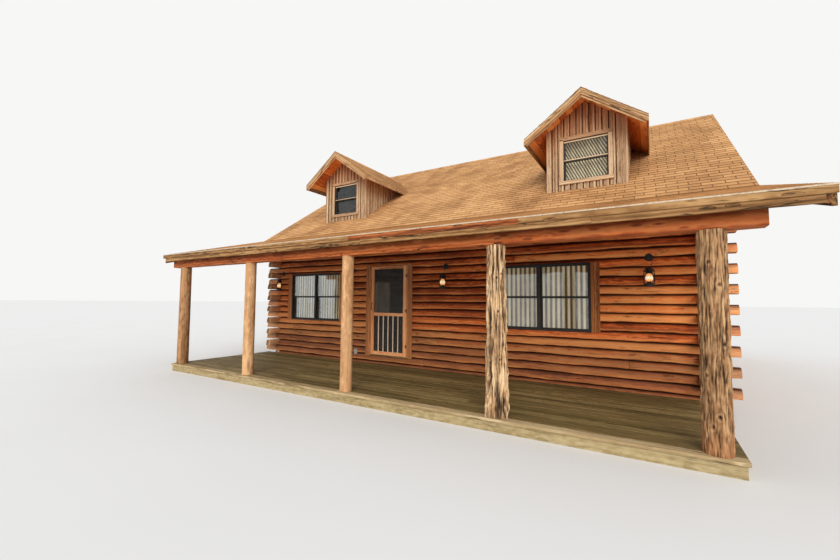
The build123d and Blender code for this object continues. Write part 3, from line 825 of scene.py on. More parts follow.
# dark boarding that shows only in the gaps between the dormer boards: painted shade
PAINTED_GAP_SHADE = Timber("painted_gap_shade", "board_batten", (0.03, 0.013, 0.005), (0.09, 0.042, 0.018), (0.17, 0.09, 0.045),
                grain=Grain.ALONG_Z, checks=0.3, knots=0.2, roughness=0.9)
PLANK = Timber("dormer_plank", "board_batten", (0.13, 0.065, 0.03), (0.38, 0.225, 0.12), (0.62, 0.45, 0.28),
               fineness=1.1, checks=0.9, knots=0.6, roughness=0.85, depth=0.6, spread=0.22,
               high=(0.48, 0.11, 0.02), high_from=4.5, high_to=5.5)
SASH = Timber("pale_sash", "board_batten", (0.42, 0.28, 0.16), (0.66, 0.47, 0.29), (0.80, 0.62, 0.42),
              checks=0.2, knots=0.1)
BARGE = Timber("barge_wood", "barge_wood", (0.15, 0.072, 0.028), (0.42, 0.225, 0.098), (0.66, 0.44, 0.24),
               checks=1.0, knots=0.7, roughness=0.8, spread=0.2, coarse=1.8, crack=0.026, knotty=1.6)
# colour lifted well past the boards' own tone to make up for the shade under the dormer roofs: painted light
SOFFIT_PAINTED_LIGHT = Timber("soffit_painted_light", "barge_wood", (0.40, 0.085, 0.018), (0.98, 0.27, 0.058), (1.0, 0.48, 0.17),
                checks=0.6, knots=1.0, spread=0.5, knotty=1.3)
DOOR = Timber("door_wood", "door_wood", (0.36, 0.11, 0.032), (0.78, 0.31, 0.115), (0.96, 0.54, 0.27),
              checks=0.25, knots=0.4, roughness=0.5, depth=0.3, spread=0.2)
SPINDLE = Timber("spindle_wood", "door_wood", (0.46, 0.30, 0.19), (0.76, 0.56, 0.40), (0.88, 0.74, 0.58),
                 checks=0.2, knots=0.2, roughness=0.5, depth=0.3, spread=0.2)
SHINGLES = Shingle("shingles", "shingles", (0.25, 0.115, 0.04), (0.60, 0.315, 0.13), (0.86, 0.54, 0.25))
BRONZE = Metal("bronze_frame", "bronze_frame", (0.014, 0.011, 0.009), (0.038, 0.031, 0.025), 0.58)
DRIP = Metal("drip_edge", "fascia_wood", (0.58, 0.46, 0.33), (0.36, 0.25, 0.15), 0.6)
BLACK = Metal("black_metal", "black_metal", (0.010, 0.009, 0.008), (0.028, 0.021, 0.016), 0.55)
GLASS = Pane("pane", "pane", (0.90, 0.93, 0.93), 0.06)
SCREEN = Mesh("insect_screen", "insect_screen", (0.025, 0.023, 0.02))
# its third colour is the painted shade in the folds
CURTAIN = Cloth("curtain_cloth", "pane", (0.90, 0.75, 0.52), (0.58, 0.44, 0.27), (0.10, 0.065, 0.04))
CONCRETE = Cast("concrete", "concrete", (0.50, 0.48, 0.44), (0.33, 0.30, 0.26))
OUTLET = Cast("outlet_grey", "outlet_grey", (0.36, 0.37, 0.36), (0.24, 0.24, 0.23), 0.55, 0.1)
GLOBE = Flame("lamp_globe", "pane", (1.0, 0.42, 0.13), 0.6)


def eased(outline: Sequence[Vector], cut: float) -> list[Vector]:
    """Return an outline with each corner cut off.

    Args:
        outline: Corners in order.
        cut: How far the cut starts from a corner.

    Returns:
        The outline with two points for each corner.
    """
    points = []
    for before, corner, after in zip([outline[-1], *outline[:-1]], outline, [*outline[1:], outline[0]]):
        for other in (before, after):
            way = other - corner
            points.append(corner + way.normalized() * min(cut, way.length * 0.45))
    return points


def lumps(node: str) -> list[Box]:
    """Return the lowest and highest corner of each separate solid of a frame node.

    Args:
        node: The node's name.

    Returns:
        One pair of corners for each solid.
    """
    mesh = bmesh.new()
    mesh.from_mesh(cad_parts[node].data)
    bmesh.ops.remove_doubles(mesh, verts=mesh.verts, dist=SAME_POINT)
    left = set(mesh.verts)
    found = []
    while left:
        seed = left.pop()
        group, stack = [seed], [seed]
        while stack:
            for edge in stack.pop().link_edges:
                for vert in edge.verts:
                    if vert in left:
                        left.discard(vert)
                        group.append(vert)
                        stack.append(vert)
        low = Vector([min(v.co[i] for v in group) for i in range(3)])
        high = Vector([max(v.co[i] for v in group) for i in range(3)])
        found.append((low, high))
    mesh.free()
    return sorted(found, key=lambda pair: tuple(round(c, 3) for c in pair[0]))


def upper_windows(gable: bool) -> list[Box]:
    """Return the corners of the upper windows' frames, either in the gables or in the dormers."""
    return [pair for pair in lumps("window_frames") if pair[0].z > UPSTAIRS and (abs(pair[0].y) < 1.0) == gable]


def placed(name: str, data: bpy.types.ID) -> bpy.types.Object:
    """Return a new object of some data, linked to the scene.

    Args:
        name: The object's name.
        data: Its mesh, light or camera.

    Returns:
        The object.
    """
    made = bpy.data.objects.new(name, data)
    bpy.context.scene.collection.objects.link(made)
    return made


class Stock:
    """The mesh of one piece, gathered part by part with the grain, tint and painted shade and highlight of each part.
    """

    def __init__(self, seed: int) -> None:
        """Start an empty piece.

        Args:
            seed: Seed for everything that varies in it.
        """
        self.corners: list[Vector] = []
        self.faces: list[tuple[int, ...]] = []
        self.grain: list[tuple[float, float, float]] = []
        self.tint: list[float] = []
        self.finish: list[int] = []
        self.painted_light: list[float] = []
        self.chance = random.Random(seed)

    def loft(self, rings: Sequence[Sequence[Vector]], grain: Sequence[Sequence[tuple[float, float, float]]],
             tint: float | None = None, finish: int = 0, ends: int | None = None,
             painted_light: Sequence[Sequence[float]] = ()) -> None:
        """Join rings of points into one solid with closed ends.

        Args:
            rings: Rings with the same number of points.
            grain: Where each point lies in the wood, length first.
            tint: Tone of the part, 0 to 1, or none for a random one.
            finish: Index of its finish.
            ends: Index of the finish of both ends, if it is another one.
            painted_light: Painted shade at each point, 0 to 1, and painted highlight where it is below 0.
        """
        base = len(self.corners)
        count = len(rings[0])
        shade = self.chance.random() if tint is None else tint
        for ring, marks in zip(rings, grain):
            self.corners.extend(ring)
            self.grain.extend(marks)
            self.tint.extend([shade] * count)
        self.painted_light.extend([deep for ring in painted_light for deep in ring] if painted_light else [0.0] * (count * len(rings)))
        before = len(self.faces)
        for i in range(len(rings) - 1):
            for j in range(count):
                a, b = base + i * count + j, base + i * count + (j + 1) % count
                self.faces.append((a, b, b + count, a + count))
        self.finish.extend([finish] * (len(self.faces) - before))
        last = base + (len(rings) - 1) * count
        self.faces.extend([tuple(range(base + count - 1, base - 1, -1)), tuple(range(last, last + count))])
        self.finish.extend([finish if ends is None else ends] * 2)

    def run(self, outline: Sequence[Vector], path: Vector, step: float = 0.5, wobble: float = 0.0,
            finish: int = 0) -> None:
        """Run an outline along a straight path, as one length of timber.

        Args:
            outline: The section's corners at its start.
            path: From its start to its end.
            step: Longest distance between rings.
            wobble: How far its surface wanders.
            finish: Index of its finish.
        """
        stops = max(1, math.ceil(path.length / step))
        way = path.normalized()
        middle = sum(outline, Vector()) / len(outline)
        side = (outline[0] - middle).cross(way).normalized()
        other = way.cross(side)
        heart = self.heart()
        start = self.chance.uniform(0.0, GRAIN_SHIFT)
        rings, grain = [], []
        for i in range(stops + 1):
            ring, marks = [], []
            for corner in outline:
                point = corner + path * (i / stops)
                if wobble:
                    broad, fine = noise.noise_vector(point * 2.6), noise.noise_vector(point * 11)
                    point = point + broad * wobble + fine * wobble * 0.4
                ring.append(point)
                off = corner - middle
                marks.append((start + path.length * i / stops, off.dot(side) + heart[0], off.dot(other) + heart[1]))
            rings.append(ring)
            grain.append(marks)
        self.loft(rings, grain, None, finish)

    def heart(self) -> tuple[float, float]:
        """Return how far off the heart of the log the next part is sawn."""
        return self.chance.uniform(-HEART_SHIFT, HEART_SHIFT), self.chance.uniform(-HEART_SHIFT, HEART_SHIFT)

    def bar(self, start: Vector, end: Vector, wide: Vector, deep: Vector, cut: float = 0.003, **more: object) -> None:
        """Add a bar whose section is spanned by two vectors about the line from start to end."""
        corners = [start + wide * u / 2 + deep * v / 2 for u, v in ((-1, -1), (1, -1), (1, 1), (-1, 1))]
        self.run(eased(corners, cut), end - start, **more)

    def plank(self, low: Sequence[float], high: Sequence[float], axis: int, cut: float = 0.003,
              **more: object) -> None:
        """Add a plank that fills a box, its grain along an axis.

        Args:
            low: Lowest corner of the box.
            high: Highest corner of the box.
            axis: The axis of its length.
            cut: How far its edges are eased.
            more: What its run also takes.
        """
        low, high = Vector(low), Vector(high)
        size = high - low
        others = [i for i in range(3) if i != axis]
        middle = (low + high) / 2
        start, end = middle.copy(), middle.copy()
        start[axis], end[axis] = low[axis], high[axis]
        wide, deep = Vector(), Vector()
        wide[others[0]], deep[others[1]] = size[others[0]], size[others[1]]
        self.bar(start, end, wide, deep, cut, **more)

    def upright(self, low: tuple[float, float], high: tuple[float, float], foot: Level, head: Level,
                finish: int = 0) -> None:
        """Add an upright board whose ends follow slopes.

        Args:
            low: Lowest x and y of its plan.
            high: Highest x and y of its plan.
            foot: Height of its lower end at a place in plan.
            head: Height of its upper end at a place in plan.
            finish: Index of its finish.
        """
        corners = ((low[0], low[1]), (high[0], low[1]), (high[0], high[1]), (low[0], high[1]))
        plan = eased([Vector((x, y, 0)) for x, y in corners], BOARD_EASE)
        shift = self.chance.uniform(0.0, GRAIN_SHIFT)
        heart = self.heart()
        rings, grain = [], []
        for level in (foot, head):
            rings.append([Vector((point.x, point.y, level(point.x, point.y))) for point in plan])
            grain.append([(shift + point.z, point.x - low[0] + heart[0], point.y - low[1] + heart[1])
                          for point in rings[-1]])
        self.loft(rings, grain, None, finish)

    def turned(self, centre: Vector, profile: Sequence[tuple[float, float]], sides: int = 20, finish: int = 0,
               way: Vector = Vector((0, 0, 1)), painted_light: Sequence[float] | None = None) -> None:
        """Add a turned part.

        Args:
            centre: Where its axis starts.
            profile: Radius and distance along the axis of each ring.
            sides: Points in a ring.
            finish: Index of its finish.
            way: Direction of its axis.
            painted_light: Painted light of each ring, if any.
        """
        turn = way.to_track_quat("Z", "Y")
        rings, grain = [], []
        shift = self.chance.uniform(0.0, GRAIN_SHIFT)
        for radius, height in profile:
            ring, marks = [], []
            for j in range(sides):
                angle = math.tau * j / sides
                local = Vector((radius * math.cos(angle), radius * math.sin(angle), height))
                ring.append(centre + turn @ local)
                marks.append((shift + height, local.x, local.y))
            rings.append(ring)
            grain.append(marks)
        self.loft(rings, grain, None, finish, painted_light=[[value] * sides for value in painted_light or ()])

    def wire(self, points: Sequence[Vector], radius: float, sides: int = 10, finish: int = 0) -> None:
        """Add a round rod along points.

        Args:
            points: The rod's middle line.
            radius: Its radius.
            sides: Points in a ring.
            finish: Index of its finish.
        """
        angles = [math.tau * j / sides for j in range(sides)]
        rings, grain = [], []
        gone = 0.0
        for i, point in enumerate(points):
            way = (points[min(i + 1, len(points) - 1)] - points[max(i - 1, 0)]).normalized()
            turn = way.to_track_quat("Z", "Y")
            gone += (point - points[i - 1]).length if i else 0.0
            spokes = [turn @ Vector((math.cos(angle), math.sin(angle), 0)) for angle in angles]
            rings.append([point + spoke * radius for spoke in spokes])
            grain.append([(gone, spoke.x * radius, spoke.y * radius) for spoke in spokes])
        self.loft(rings, grain, None, finish)

    def piece(self, name: str, finishes: Sequence[Finish], body: str = "house", replaces: Sequence[str] = (),
              sharp: float = 38.0, turn_out: bool = True) -> bpy.types.Object:
        """Make the piece and have it ride on its body.

        Args:
            name: The object's name.
            finishes: Its finishes, in the order of their indices.
            body: The frame body that it moves with.
            replaces: Frame nodes that it stands for.
            sharp: Edges sharper than this angle stay crisp.
            turn_out: Whether faces are turned outwards.

        Returns:
            The new object.
        """
        mesh = bpy.data.meshes.new(name)
        mesh.from_pydata([tuple(corner) for corner in self.corners], [], self.faces)
        places = [part for mark in self.grain for part in mark]
        mesh.attributes.new("grain", "FLOAT_VECTOR", "POINT").data.foreach_set("vector", places)
        mesh.attributes.new("tint", "FLOAT", "POINT").data.foreach_set("value", self.tint)
        # painted shade and highlight of each point, which the finishes turn into colour
        mesh.attributes.new("painted_light", "FLOAT", "POINT").data.foreach_set("value", self.painted_light)
        for finish in finishes:
            mesh.materials.append(finish.material())
        mesh.polygons.foreach_set("material_index", self.finish)
        if turn_out:
            solid = bmesh.new()
            solid.from_mesh(mesh)
            bmesh.ops.recalc_face_normals(solid, faces=solid.faces)
            solid.to_mesh(mesh)
            solid.free()
        mesh.shade_smooth()
        mesh.set_sharp_from_angle(angle=math.radians(sharp))
        made = placed(name, mesh)
        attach(made, body)
        if replaces:
            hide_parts(*replaces)
        LOG.info("%s: %d faces on %s", name, len(mesh.polygons), body)
        return made


def dress(node: str, finish: Finish, soften: float = 0.0) -> None:
    """Give a frame node that keeps its shape its finish, and soften its edges.

    Args:
        node: The node's name.
        finish: Its finish.
        soften: Width of the eased edges in metres, or 0 for none.
    """
    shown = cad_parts[node]
    shown.data.materials.clear()
    shown.data.materials.append(finish.material())
    for polygon in shown.data.polygons:
        polygon.material_index = 0
    if soften:
        weld = shown.modifiers.new("Weld", "WELD")
        weld.merge_threshold = SAME_POINT
        bevel = shown.modifiers.new("Eased", "BEVEL")
        bevel.width = soften
        bevel.segments = 2
        bevel.limit_method = "ANGLE"
        bevel.angle_limit = math.radians(40)
    LOG.info("%s: %s", node, finish.name)


@dataclass
class LogWalls:
    """The four walls of hewn logs that pass each other in turn at the corners."""

    hewing: float = 0.007
    edge_wander: float = 0.014
    front_step: float = 0.09
    other_step: float = 0.18
    end_rounding: float = 0.004
    fine_hewing: float = 0.003
    shift: float = 90.0
    heart: float = 0.02
    middle: tuple[float, float] = (0.075, 0.076)
    profile: Profile = (
        (0.040, 0.0), (0.012, 0.012), (-0.008, 0.04), (-0.016, 0.11), (-0.014, 0.30), (-0.008, 0.52), (0.001, 0.70),
        (0.012, 0.82), (0.028, 0.90), (0.046, 0.95), (0.046, 1.0), (0.132, 1.0), (0.150, 0.88), (0.150, 0.12),
        (0.132, 0.0))
    # painted shade in the grooves between logs and painted highlight on each log's lower lip, one value for each
    # profile point
    shading: tuple[float, ...] = (1.0, 0.6, -0.9, -0.8, -0.2, 0.0, 0.16, 0.5, 0.95, 1.0, 1.0, 0.0, 0.0, 0.0, 0.0)

    def build(self) -> None:
        """Build the logs of all four walls."""
        holes = lumps("window_frames") + lumps("door_frame")
        walls = {"front": (0, Vector((0, -1, 0)), self.front_step, STAINED_WITH_PAINTED_LIGHT),
                 "back": (0, Vector((0, 1, 0)), self.other_step, WEATHERED),
                 "left": (1, Vector((-1, 0, 0)), self.other_step, STAINED_SIDE),
                 "right": (1, Vector((1, 0, 0)), self.other_step * 0.6, STAINED_SIDE)}
        for side, (axis, outward, step, finish) in walls.items():
            for kind in ("pass", "butt"):
                node = f"{side}_wall_{kind}_logs"
                stock = Stock(len(node) * 7 + axis)
                for low, high in lumps(node):
                    self.log(stock, low, high, axis, outward, step, holes)
                stock.piece(f"{side}_wall_{kind}_hewn", [finish, END_GRAIN], replaces=[node], sharp=50)

    def clips(self, low: Vector, high: Vector, axis: int, holes: Iterable[Box]) -> list[tuple[float, ...]]:
        """Return where openings reach into a log.

        Args:
            low: Lowest corner of the log.
            high: Highest corner of the log.
            axis: 0 where it lies along X, 1 along Y.
            holes: Corners of the frames that fill the openings.

        Returns:
            Start, end, foot and head of each opening.
        """
        other = 1 - axis
        found = []
        for hole_low, hole_high in holes:
            apart = hole_high[other] < low[other] or hole_low[other] > high[other]
            apart = apart or hole_high[axis] <= low[axis] + 0.001 or hole_low[axis] >= high[axis] - 0.001
            if apart or hole_high[2] <= low[2] + 0.002 or hole_low[2] >= high[2] - 0.002:
                continue
            found.append((max(low[axis], hole_low[axis]), min(high[axis], hole_high[axis]), hole_low[2], hole_high[2]))
        return found

    def hewn(self, t: float, course: int, outward: Vector, tall: float, tight: float) -> list[tuple[float, float]]:
        """Return a log's section at one place.

        Args:
            t: The place along the wall.
            course: The log's course.
            outward: Out of the wall.
            tall: The log's height.
            tight: How far the section is drawn in, at an end.

        Returns:
            Depth behind the wall's face and height above the log's foot of each point.
        """
        points = []
        for depth, share in self.profile:
            z = share * tall
            if depth < 0.02:
                depth += self.hewing * noise.noise((t * 1.3, course * 7.3 + outward.x * 9, share * 2.2))
                depth += self.fine_hewing * noise.noise((t * 8.0, course * 3.1, share * 7.0))
            if share < 0.2 and depth < 0.1:
                broad = noise.noise((t * 1.9, course * 5.9, outward.y * 5))
                z += self.edge_wander * (0.3 + broad + 0.6 * noise.noise((t * 6.5, course * 2.3, 1.0)))
            if tight:
                depth += tight if depth < self.middle[0] else -tight
                z += tight * 0.8 if share < 0.5 else -tight * 0.8
            points.append((depth, z))
        return points

    def log(self, stock: Stock, low: Vector, high: Vector, axis: int, outward: Vector, step: float,
            holes: Iterable[Box]) -> None:
        """Add one log, cut away where an opening reaches into its course.

        Args:
            stock: The piece that it belongs to.
            low: Lowest corner of the log.
            high: Highest corner of the log.
            axis: 0 where it lies along X, 1 along Y.
            outward: Out of the wall.
            step: Distance between rings.
            holes: Corners of the frames that fill the openings.
        """
        other = 1 - axis
        outer = low[other] if outward[other] < 0 else high[other]
        start, end = low[axis], high[axis]
        clips = self.clips(low, high, axis, holes)
        edges = sorted({start, end, *(c for clip in clips for c in clip[:2])})
        course = round((low[2] - S.log_base) / S.course)
        seed = stock.chance.uniform(0.0, self.shift)
        heart = (stock.chance.uniform(-self.heart, self.heart), stock.chance.uniform(-self.heart, self.heart))
        rings, grain, painted_light = [], [], []
        for a, b in zip(edges, edges[1:]):
            floor, roof = low[2], high[2]
            for clip_a, clip_b, clip_low, clip_high in clips:
                if clip_a <= a + 1e-4 and clip_b >= b - 1e-4:
                    if clip_low <= low[2]:
                        floor = max(floor, clip_high)
                    else:
                        roof = min(roof, clip_low)
            count = max(1, math.ceil((b - a) / step))
            stops = [a + (b - a) * i / count for i in range(count + 1)]
            if a == start:
                stops.insert(1, a + self.end_rounding)
            if b == end:
                stops.insert(-1, b - self.end_rounding)
            for t in stops:
                tight = self.end_rounding if t in (start, end) else 0.0
                ring, marks = [], []
                for depth, up in self.hewn(t, course, outward, high[2] - low[2], tight):
                    z = min(max(low[2] + up, floor), roof)
                    point = Vector((0.0, 0.0, z))
                    point[axis] = t
                    point[other] = outer - outward[other] * depth
                    ring.append(point)
                    marks.append((t + seed, depth - self.middle[0] + heart[0],
                                  z - low[2] - self.middle[1] + heart[1]))
                rings.append(ring)
                grain.append(marks)
                # the lip's painted highlight varies along the log
                lit = 0.65 + 0.7 * noise.noise((t * 2.3, course * 4.1, outward.x))
                painted_light.append([deep * lit if deep < 0 else deep for deep in self.shading])
        stock.loft(rings, grain, ends=1, painted_light=painted_light)


@dataclass(frozen=True)
class Bark:
    """How gnarled a trunk is: roughness, grooves and knots as seen from the side that shows most.

    A groove is its place aside (-1 to 1), lower and upper end, depth and width.
    A knot is its height, place aside and size.
    The trunk's mesh has so many points in a ring, and a ring at each rise.
    """

    facing: float
    lobes: float
    rough: float
    flakes: float
    grooves: tuple[tuple[float, float, float, float, float], ...]
    knots: tuple[tuple[float, float, float], ...]
    sides: int = 128
    rise: float = 0.014


@dataclass
class Posts:
    """The five porch posts: three peeled poles and two gnarled cedar trunks."""

    pole_tops: tuple[float, ...] = (0.110, 0.100, 0.094)
    # the first pole's low tone is painted shade
    pole_tones_and_shade: tuple[float, ...] = (-0.30, 0.85, 1.0)
    cedar_tops: tuple[float, ...] = (0.112, 0.124)
    peeled: Bark = Bark(
        -1.35, 0.02, 0.0015, 2.0, ((0.35, 0.5, 1.9, 0.004, 0.03), (-0.5, 1.1, 2.1, 0.003, 0.03)), ((1.4, 0.3, 0.006),),
        sides=56, rise=0.04)
    gnarled: Bark = Bark(
        -1.22, 0.12, 0.038, 3.0,
        ((-0.66, 0.95, 1.68, 0.034, 0.16), (0.66, 1.16, 1.62, 0.030, 0.13), (0.10, -0.2, 0.80, 0.040, 0.17),
         (-0.62, 0.30, 0.90, 0.022, 0.12), (0.62, -0.2, 0.38, 0.024, 0.12), (-0.42, 1.78, 2.3, 0.022, 0.11),
         (0.08, 1.70, 2.3, 0.026, 0.12), (0.55, 1.90, 2.25, 0.018, 0.09), (-0.05, 0.85, 1.25, 0.010, 0.07),
         (0.30, 0.55, 1.3, 0.009, 0.06), (-2.2, 0.3, 1.6, 0.030, 0.14), (2.4, 0.6, 2.0, 0.028, 0.14)),
        ((1.79, 0.42, 0.024), (1.74, -0.02, 0.020), (0.80, -0.95, 0.026), (0.72, 0.35, 0.010), (1.32, 0.15, 0.012),
         (0.62, 0.98, 0.012)))
    cracked: Bark = Bark(
        -1.68, 0.07, 0.020, 6.5,
        ((0.86, 1.58, 1.95, 0.018, 0.07), (0.76, 0.92, 1.45, 0.026, 0.10), (0.68, 0.30, 0.52, 0.024, 0.09),
         (-0.80, 0.4, 1.7, 0.012, 0.06), (0.25, 1.0, 1.75, 0.009, 0.05), (-0.35, 0.9, 1.5, 0.008, 0.05),
         (0.05, 0.4, 1.0, 0.010, 0.05), (-0.1, 1.6, 2.3, 0.008, 0.05), (0.45, 0.5, 1.2, 0.012, 0.06),
         (-2.3, 0.4, 1.9, 0.022, 0.1), (2.5, 0.3, 1.5, 0.02, 0.1)),
        ((1.84, -0.26, 0.010), (0.37, 0.17, 0.026), (0.27, -0.28, 0.012), (1.05, 0.62, 0.014), (1.62, 0.40, 0.010),
         (0.75, -0.55, 0.010)))

    def build(self) -> None:
        """Build the poles and the cedar posts."""
        stock = Stock(11)
        for number, ((low, high), top) in enumerate(zip(lumps("smooth_posts"), self.pole_tops)):
            self.trunk(stock, low, high, top, number, self.peeled, tint=self.pole_tones_and_shade[number])
        stock.piece("peeled_porch_poles", [POLE], replaces=["smooth_posts"])
        stock = Stock(12)
        for number, ((low, high), top) in enumerate(zip(lumps("cedar_posts"), self.cedar_tops)):
            self.trunk(stock, low, high, top, number + 5, (self.gnarled, self.cracked)[number], number)
        stock.piece("cedar_porch_posts", [CEDAR, RUGGED], replaces=["cedar_posts"], sharp=70)

    def trunk(self, stock: Stock, low: Vector, high: Vector, top: float, number: int, bark: Bark, finish: int = 0,
              tint: float | None = None) -> None:
        """Add one trunk that fills its cone of the frame.

        Args:
            stock: The piece that it belongs to.
            low: Lowest corner of the cone.
            high: Highest corner of the cone.
            top: Radius at the top.
            number: Its number, which seeds its shape.
            bark: How gnarled it is.
            finish: Index of its finish.
            tint: Tone of the trunk, or none for a random one.
        """
        foot = (high.x - low.x) / 2
        centre = Vector(((low.x + high.x) / 2, (low.y + high.y) / 2, 0.0))
        tall = high.z - low.z
        count = math.ceil(tall / bark.rise)
        rings, grain, painted_light = [], [], []
        for i in range(count + 1):
            z = tall * i / count
            cone = foot + (top - foot) * i / count
            ring, marks, ring_shades = [], [], []
            for j in range(bark.sides):
                angle = math.tau * j / bark.sides
                radius, deep = self.surface(angle, z, cone, number, bark)
                ring.append(centre + Vector((radius * math.cos(angle), radius * math.sin(angle), low.z + z)))
                marks.append((z + number * 11.0, cone * math.cos(angle), cone * math.sin(angle)))
                ring_shades.append(deep)
            rings.append(ring)
            grain.append(marks)
            painted_light.append(ring_shades)
        stock.loft(rings, grain, tint, finish, painted_light=painted_light)

    def surface(self, angle: float, z: float, cone: float, number: int, bark: Bark) -> tuple[float, float]:
        """Return a trunk's radius at an angle and height, and the painted shade there.

        Args:
            angle: Angle round its axis.
            z: Height above its foot.
            cone: Radius of its cone there.
            number: Its number.
            bark: How gnarled it is.

        Returns:
            The radius, and the painted shade from -1 to 1, negative for a painted highlight.
        """
        flute = 0.5 + 0.5 * math.cos(3 * angle + number * 2.1 + 1.6 * noise.noise((z * 0.7, number, 1)))
        small = 0.5 + 0.5 * math.cos(7 * angle + number + 2.4 * noise.noise((z * 0.9, number, 2)))
        radius = cone * (1.0 - bark.lobes * (0.65 * flute + 0.35 * small))
        spot = Vector((math.cos(angle) * cone, math.sin(angle) * cone, number * 3.1))
        lump = noise.noise((spot.x * 17, spot.y * 17, z * 4.5 + number))
        fine = noise.noise((spot.x * 60, spot.y * 60, z * 9.0 + number))
        flake = noise.noise((spot.x * 110, spot.y * 110, z * 26.0 + number))
        radius += bark.rough * (0.55 * lump + 0.45 * fine + 0.22 * flake)
        strong = min(1.0, bark.rough * 34)
        stringy = noise.noise((spot.x * 75, spot.y * 75, z * bark.flakes + number))
        stringy += 0.45 * noise.noise((spot.x * 150, spot.y * 150, z * 2.3 * bark.flakes))
        radius += 0.35 * bark.rough * stringy
        # painted shade in the bark's hollows and painted highlight on its raised strings
        hidden = max(0.0, -0.10 - stringy) * 2.6 + max(0.0, -0.30 - fine) * 1.2
        deep = strong * (hidden - max(0.0, stringy + 0.4 * lump - 0.10) * 1.5)
        for aside, from_z, to_z, depth, width in bark.grooves:
            place = bark.facing + (math.asin(aside) if abs(aside) <= 1 else aside)
            swing = place + 0.16 * noise.noise((z * 2.1, aside * 5, number))
            swing += 0.05 * noise.noise((z * 11, aside * 5, number))
            away = (angle - swing + math.pi) % math.tau - math.pi
            ends = min(1.0, max(0.0, (z - from_z) / 0.12)) * min(1.0, max(0.0, (to_z - z) / 0.12))
            here = ends * (0.75 + 0.5 * noise.noise((z * 5.3, aside * 9, number))) * math.exp(-(away / width) ** 2)
            radius -= depth * here
            # painted shade in each groove and painted highlight along its brows
            brow = math.exp(-((abs(away) - 2.0 * width) / (0.6 * width)) ** 2)
            deep += 1.3 * here * min(1.0, depth / 0.02) - 0.35 * ends * brow
        for knot_z, aside, size in bark.knots:
            away = (angle - bark.facing - math.asin(aside) + math.pi) % math.tau - math.pi
            far = math.hypot(away * cone, (z - knot_z) * 0.8)
            radius += size * (math.exp(-(far / 0.050) ** 2) - 1.7 * math.exp(-(far / 0.017) ** 2))
            ring = 0.5 + 0.6 * noise.noise((away * 7, z * 9, number))
            eye, rim = math.exp(-(far / 0.015) ** 2), math.exp(-((far - 0.042) / 0.009) ** 2)
            # painted shade in the knot's eye and ring, and a painted highlight just round the eye
            deep += 1.1 * eye + ring * 0.40 * rim - 0.25 * math.exp(-((far - 0.027) / 0.010) ** 2)
        swell = 1.10 if bark.rough > 0.02 else 1.0 if bark.rough < 0.005 else 1.05
        return min(radius, cone * swell), max(-1.0, min(1.0, deep))


@dataclass
class RoofPitch:
    """One pitch of a roof: its foot on the frame's upper face, the way along its eave and the way up it."""

    foot: Vector
    along: Vector
    up: Vector
    tall: float
    spans: Callable[[float], list[tuple[float, float]]]
    sink: float = 0.012
    exposure: float = 0.127
    tab: float = 0.305
    slot: float = 0.012
    butt: float = 0.0075
    butt_shade_shift: float = 0.0
    board: float = 0.184
    longest: float = 4.2

    def at(self, a: float, s: float, h: float) -> Vector:
        """Return the point a along the eave, s up the pitch and h above the frame's face."""
        return self.foot + self.along * a + self.up * s + self.along.cross(self.up) * h

    def shingles(self, stock: Stock) -> None:
        """Add the courses of shingle tabs.

        Args:
            stock: The piece that they belong to.
        """
        for row in range(math.ceil(self.tall / self.exposure)):
            low = row * self.exposure
            high = min(low + self.exposure + 0.012, self.tall)
            for start, end in self.spans(low):
                self.one_tab(stock, start, end, low, high, under=True)
                at = start - (self.tab * 0.5 if row % 2 else 0.0) - stock.chance.uniform(0.0, 0.03)
                while at < end:
                    a, b = max(start, at), min(end, at + self.tab - self.slot)
                    if b - a > 0.03:
                        self.one_tab(stock, a, b, low + stock.chance.uniform(-0.002, 0.002), high)
                    at += self.tab

    def one_tab(self, stock: Stock, a: float, b: float, low: float, high: float, under: bool = False) -> None:
        """Add one tab, thick at its lower edge.

        Args:
            stock: The piece that it belongs to.
            a: Its start along the eave.
            b: Its end along the eave.
            low: Its lower edge up the pitch.
            high: Where the next course covers it.
            under: Whether it is the plain strip that shows in the slots.
        """
        base = len(stock.corners)
        lift = -self.sink + (0.0005 if under else self.butt + stock.chance.uniform(-0.001, 0.0008))
        low = max(low, 0.0)
        points = [(a, low, -self.sink), (b, low, -self.sink), (b, low, lift), (a, low, lift),
                  (b, high, -self.sink + 0.0006), (a, high, -self.sink + 0.0006)]
        stock.corners.extend(self.at(*point) for point in points)
        # the second grain value is the height above the butt, from which the finish paints the butt's shade
        stock.grain.extend((x, s - low + self.butt_shade_shift, h) for x, s, h in points)
        stock.tint.extend([stock.chance.random()] * 6)
        # painted shade on the strip that shows in the slots
        stock.painted_light.extend([0.85 if under else 0.0] * 6)
        stock.faces.extend([(base, base + 1, base + 2, base + 3), (base + 3, base + 2, base + 4, base + 5),
                            (base + 1, base + 4, base + 2), (base, base + 3, base + 5)])
        stock.finish.extend([0] * 4)

    def boards(self, stock: Stock, thick: float, inset: float = 0.004, first: float = 0.0) -> None:
        """Add the sheathing boards that the shingles lie on.

        Args:
            stock: The piece that they belong to.
            thick: Their thickness.
            inset: How far they stay back from the ends.
            first: How far up the pitch the first one starts.
        """
        rows = math.ceil((self.tall - first) / self.board)
        width = (self.tall - first) / rows
        for row in range(rows):
            middle = first + (row + 0.5) * width
            for start, end in self.spans(middle):
                a, b = start + inset, end - inset
                lengths = max(1, math.ceil((b - a) / self.longest))
                shift = 0.0 if row % 2 else 0.25
                cuts = [a] + [a + (b - a) * (k + shift) / lengths for k in range(1, lengths)] + [b]
                depth = -self.sink - thick / 2
                for c, d in zip(cuts, cuts[1:]):
                    stock.bar(self.at(c + 0.001, middle, depth), self.at(d - 0.001, middle, depth),
                              self.up * (width - 0.003), self.along.cross(self.up) * thick, 0.002, step=2.0)


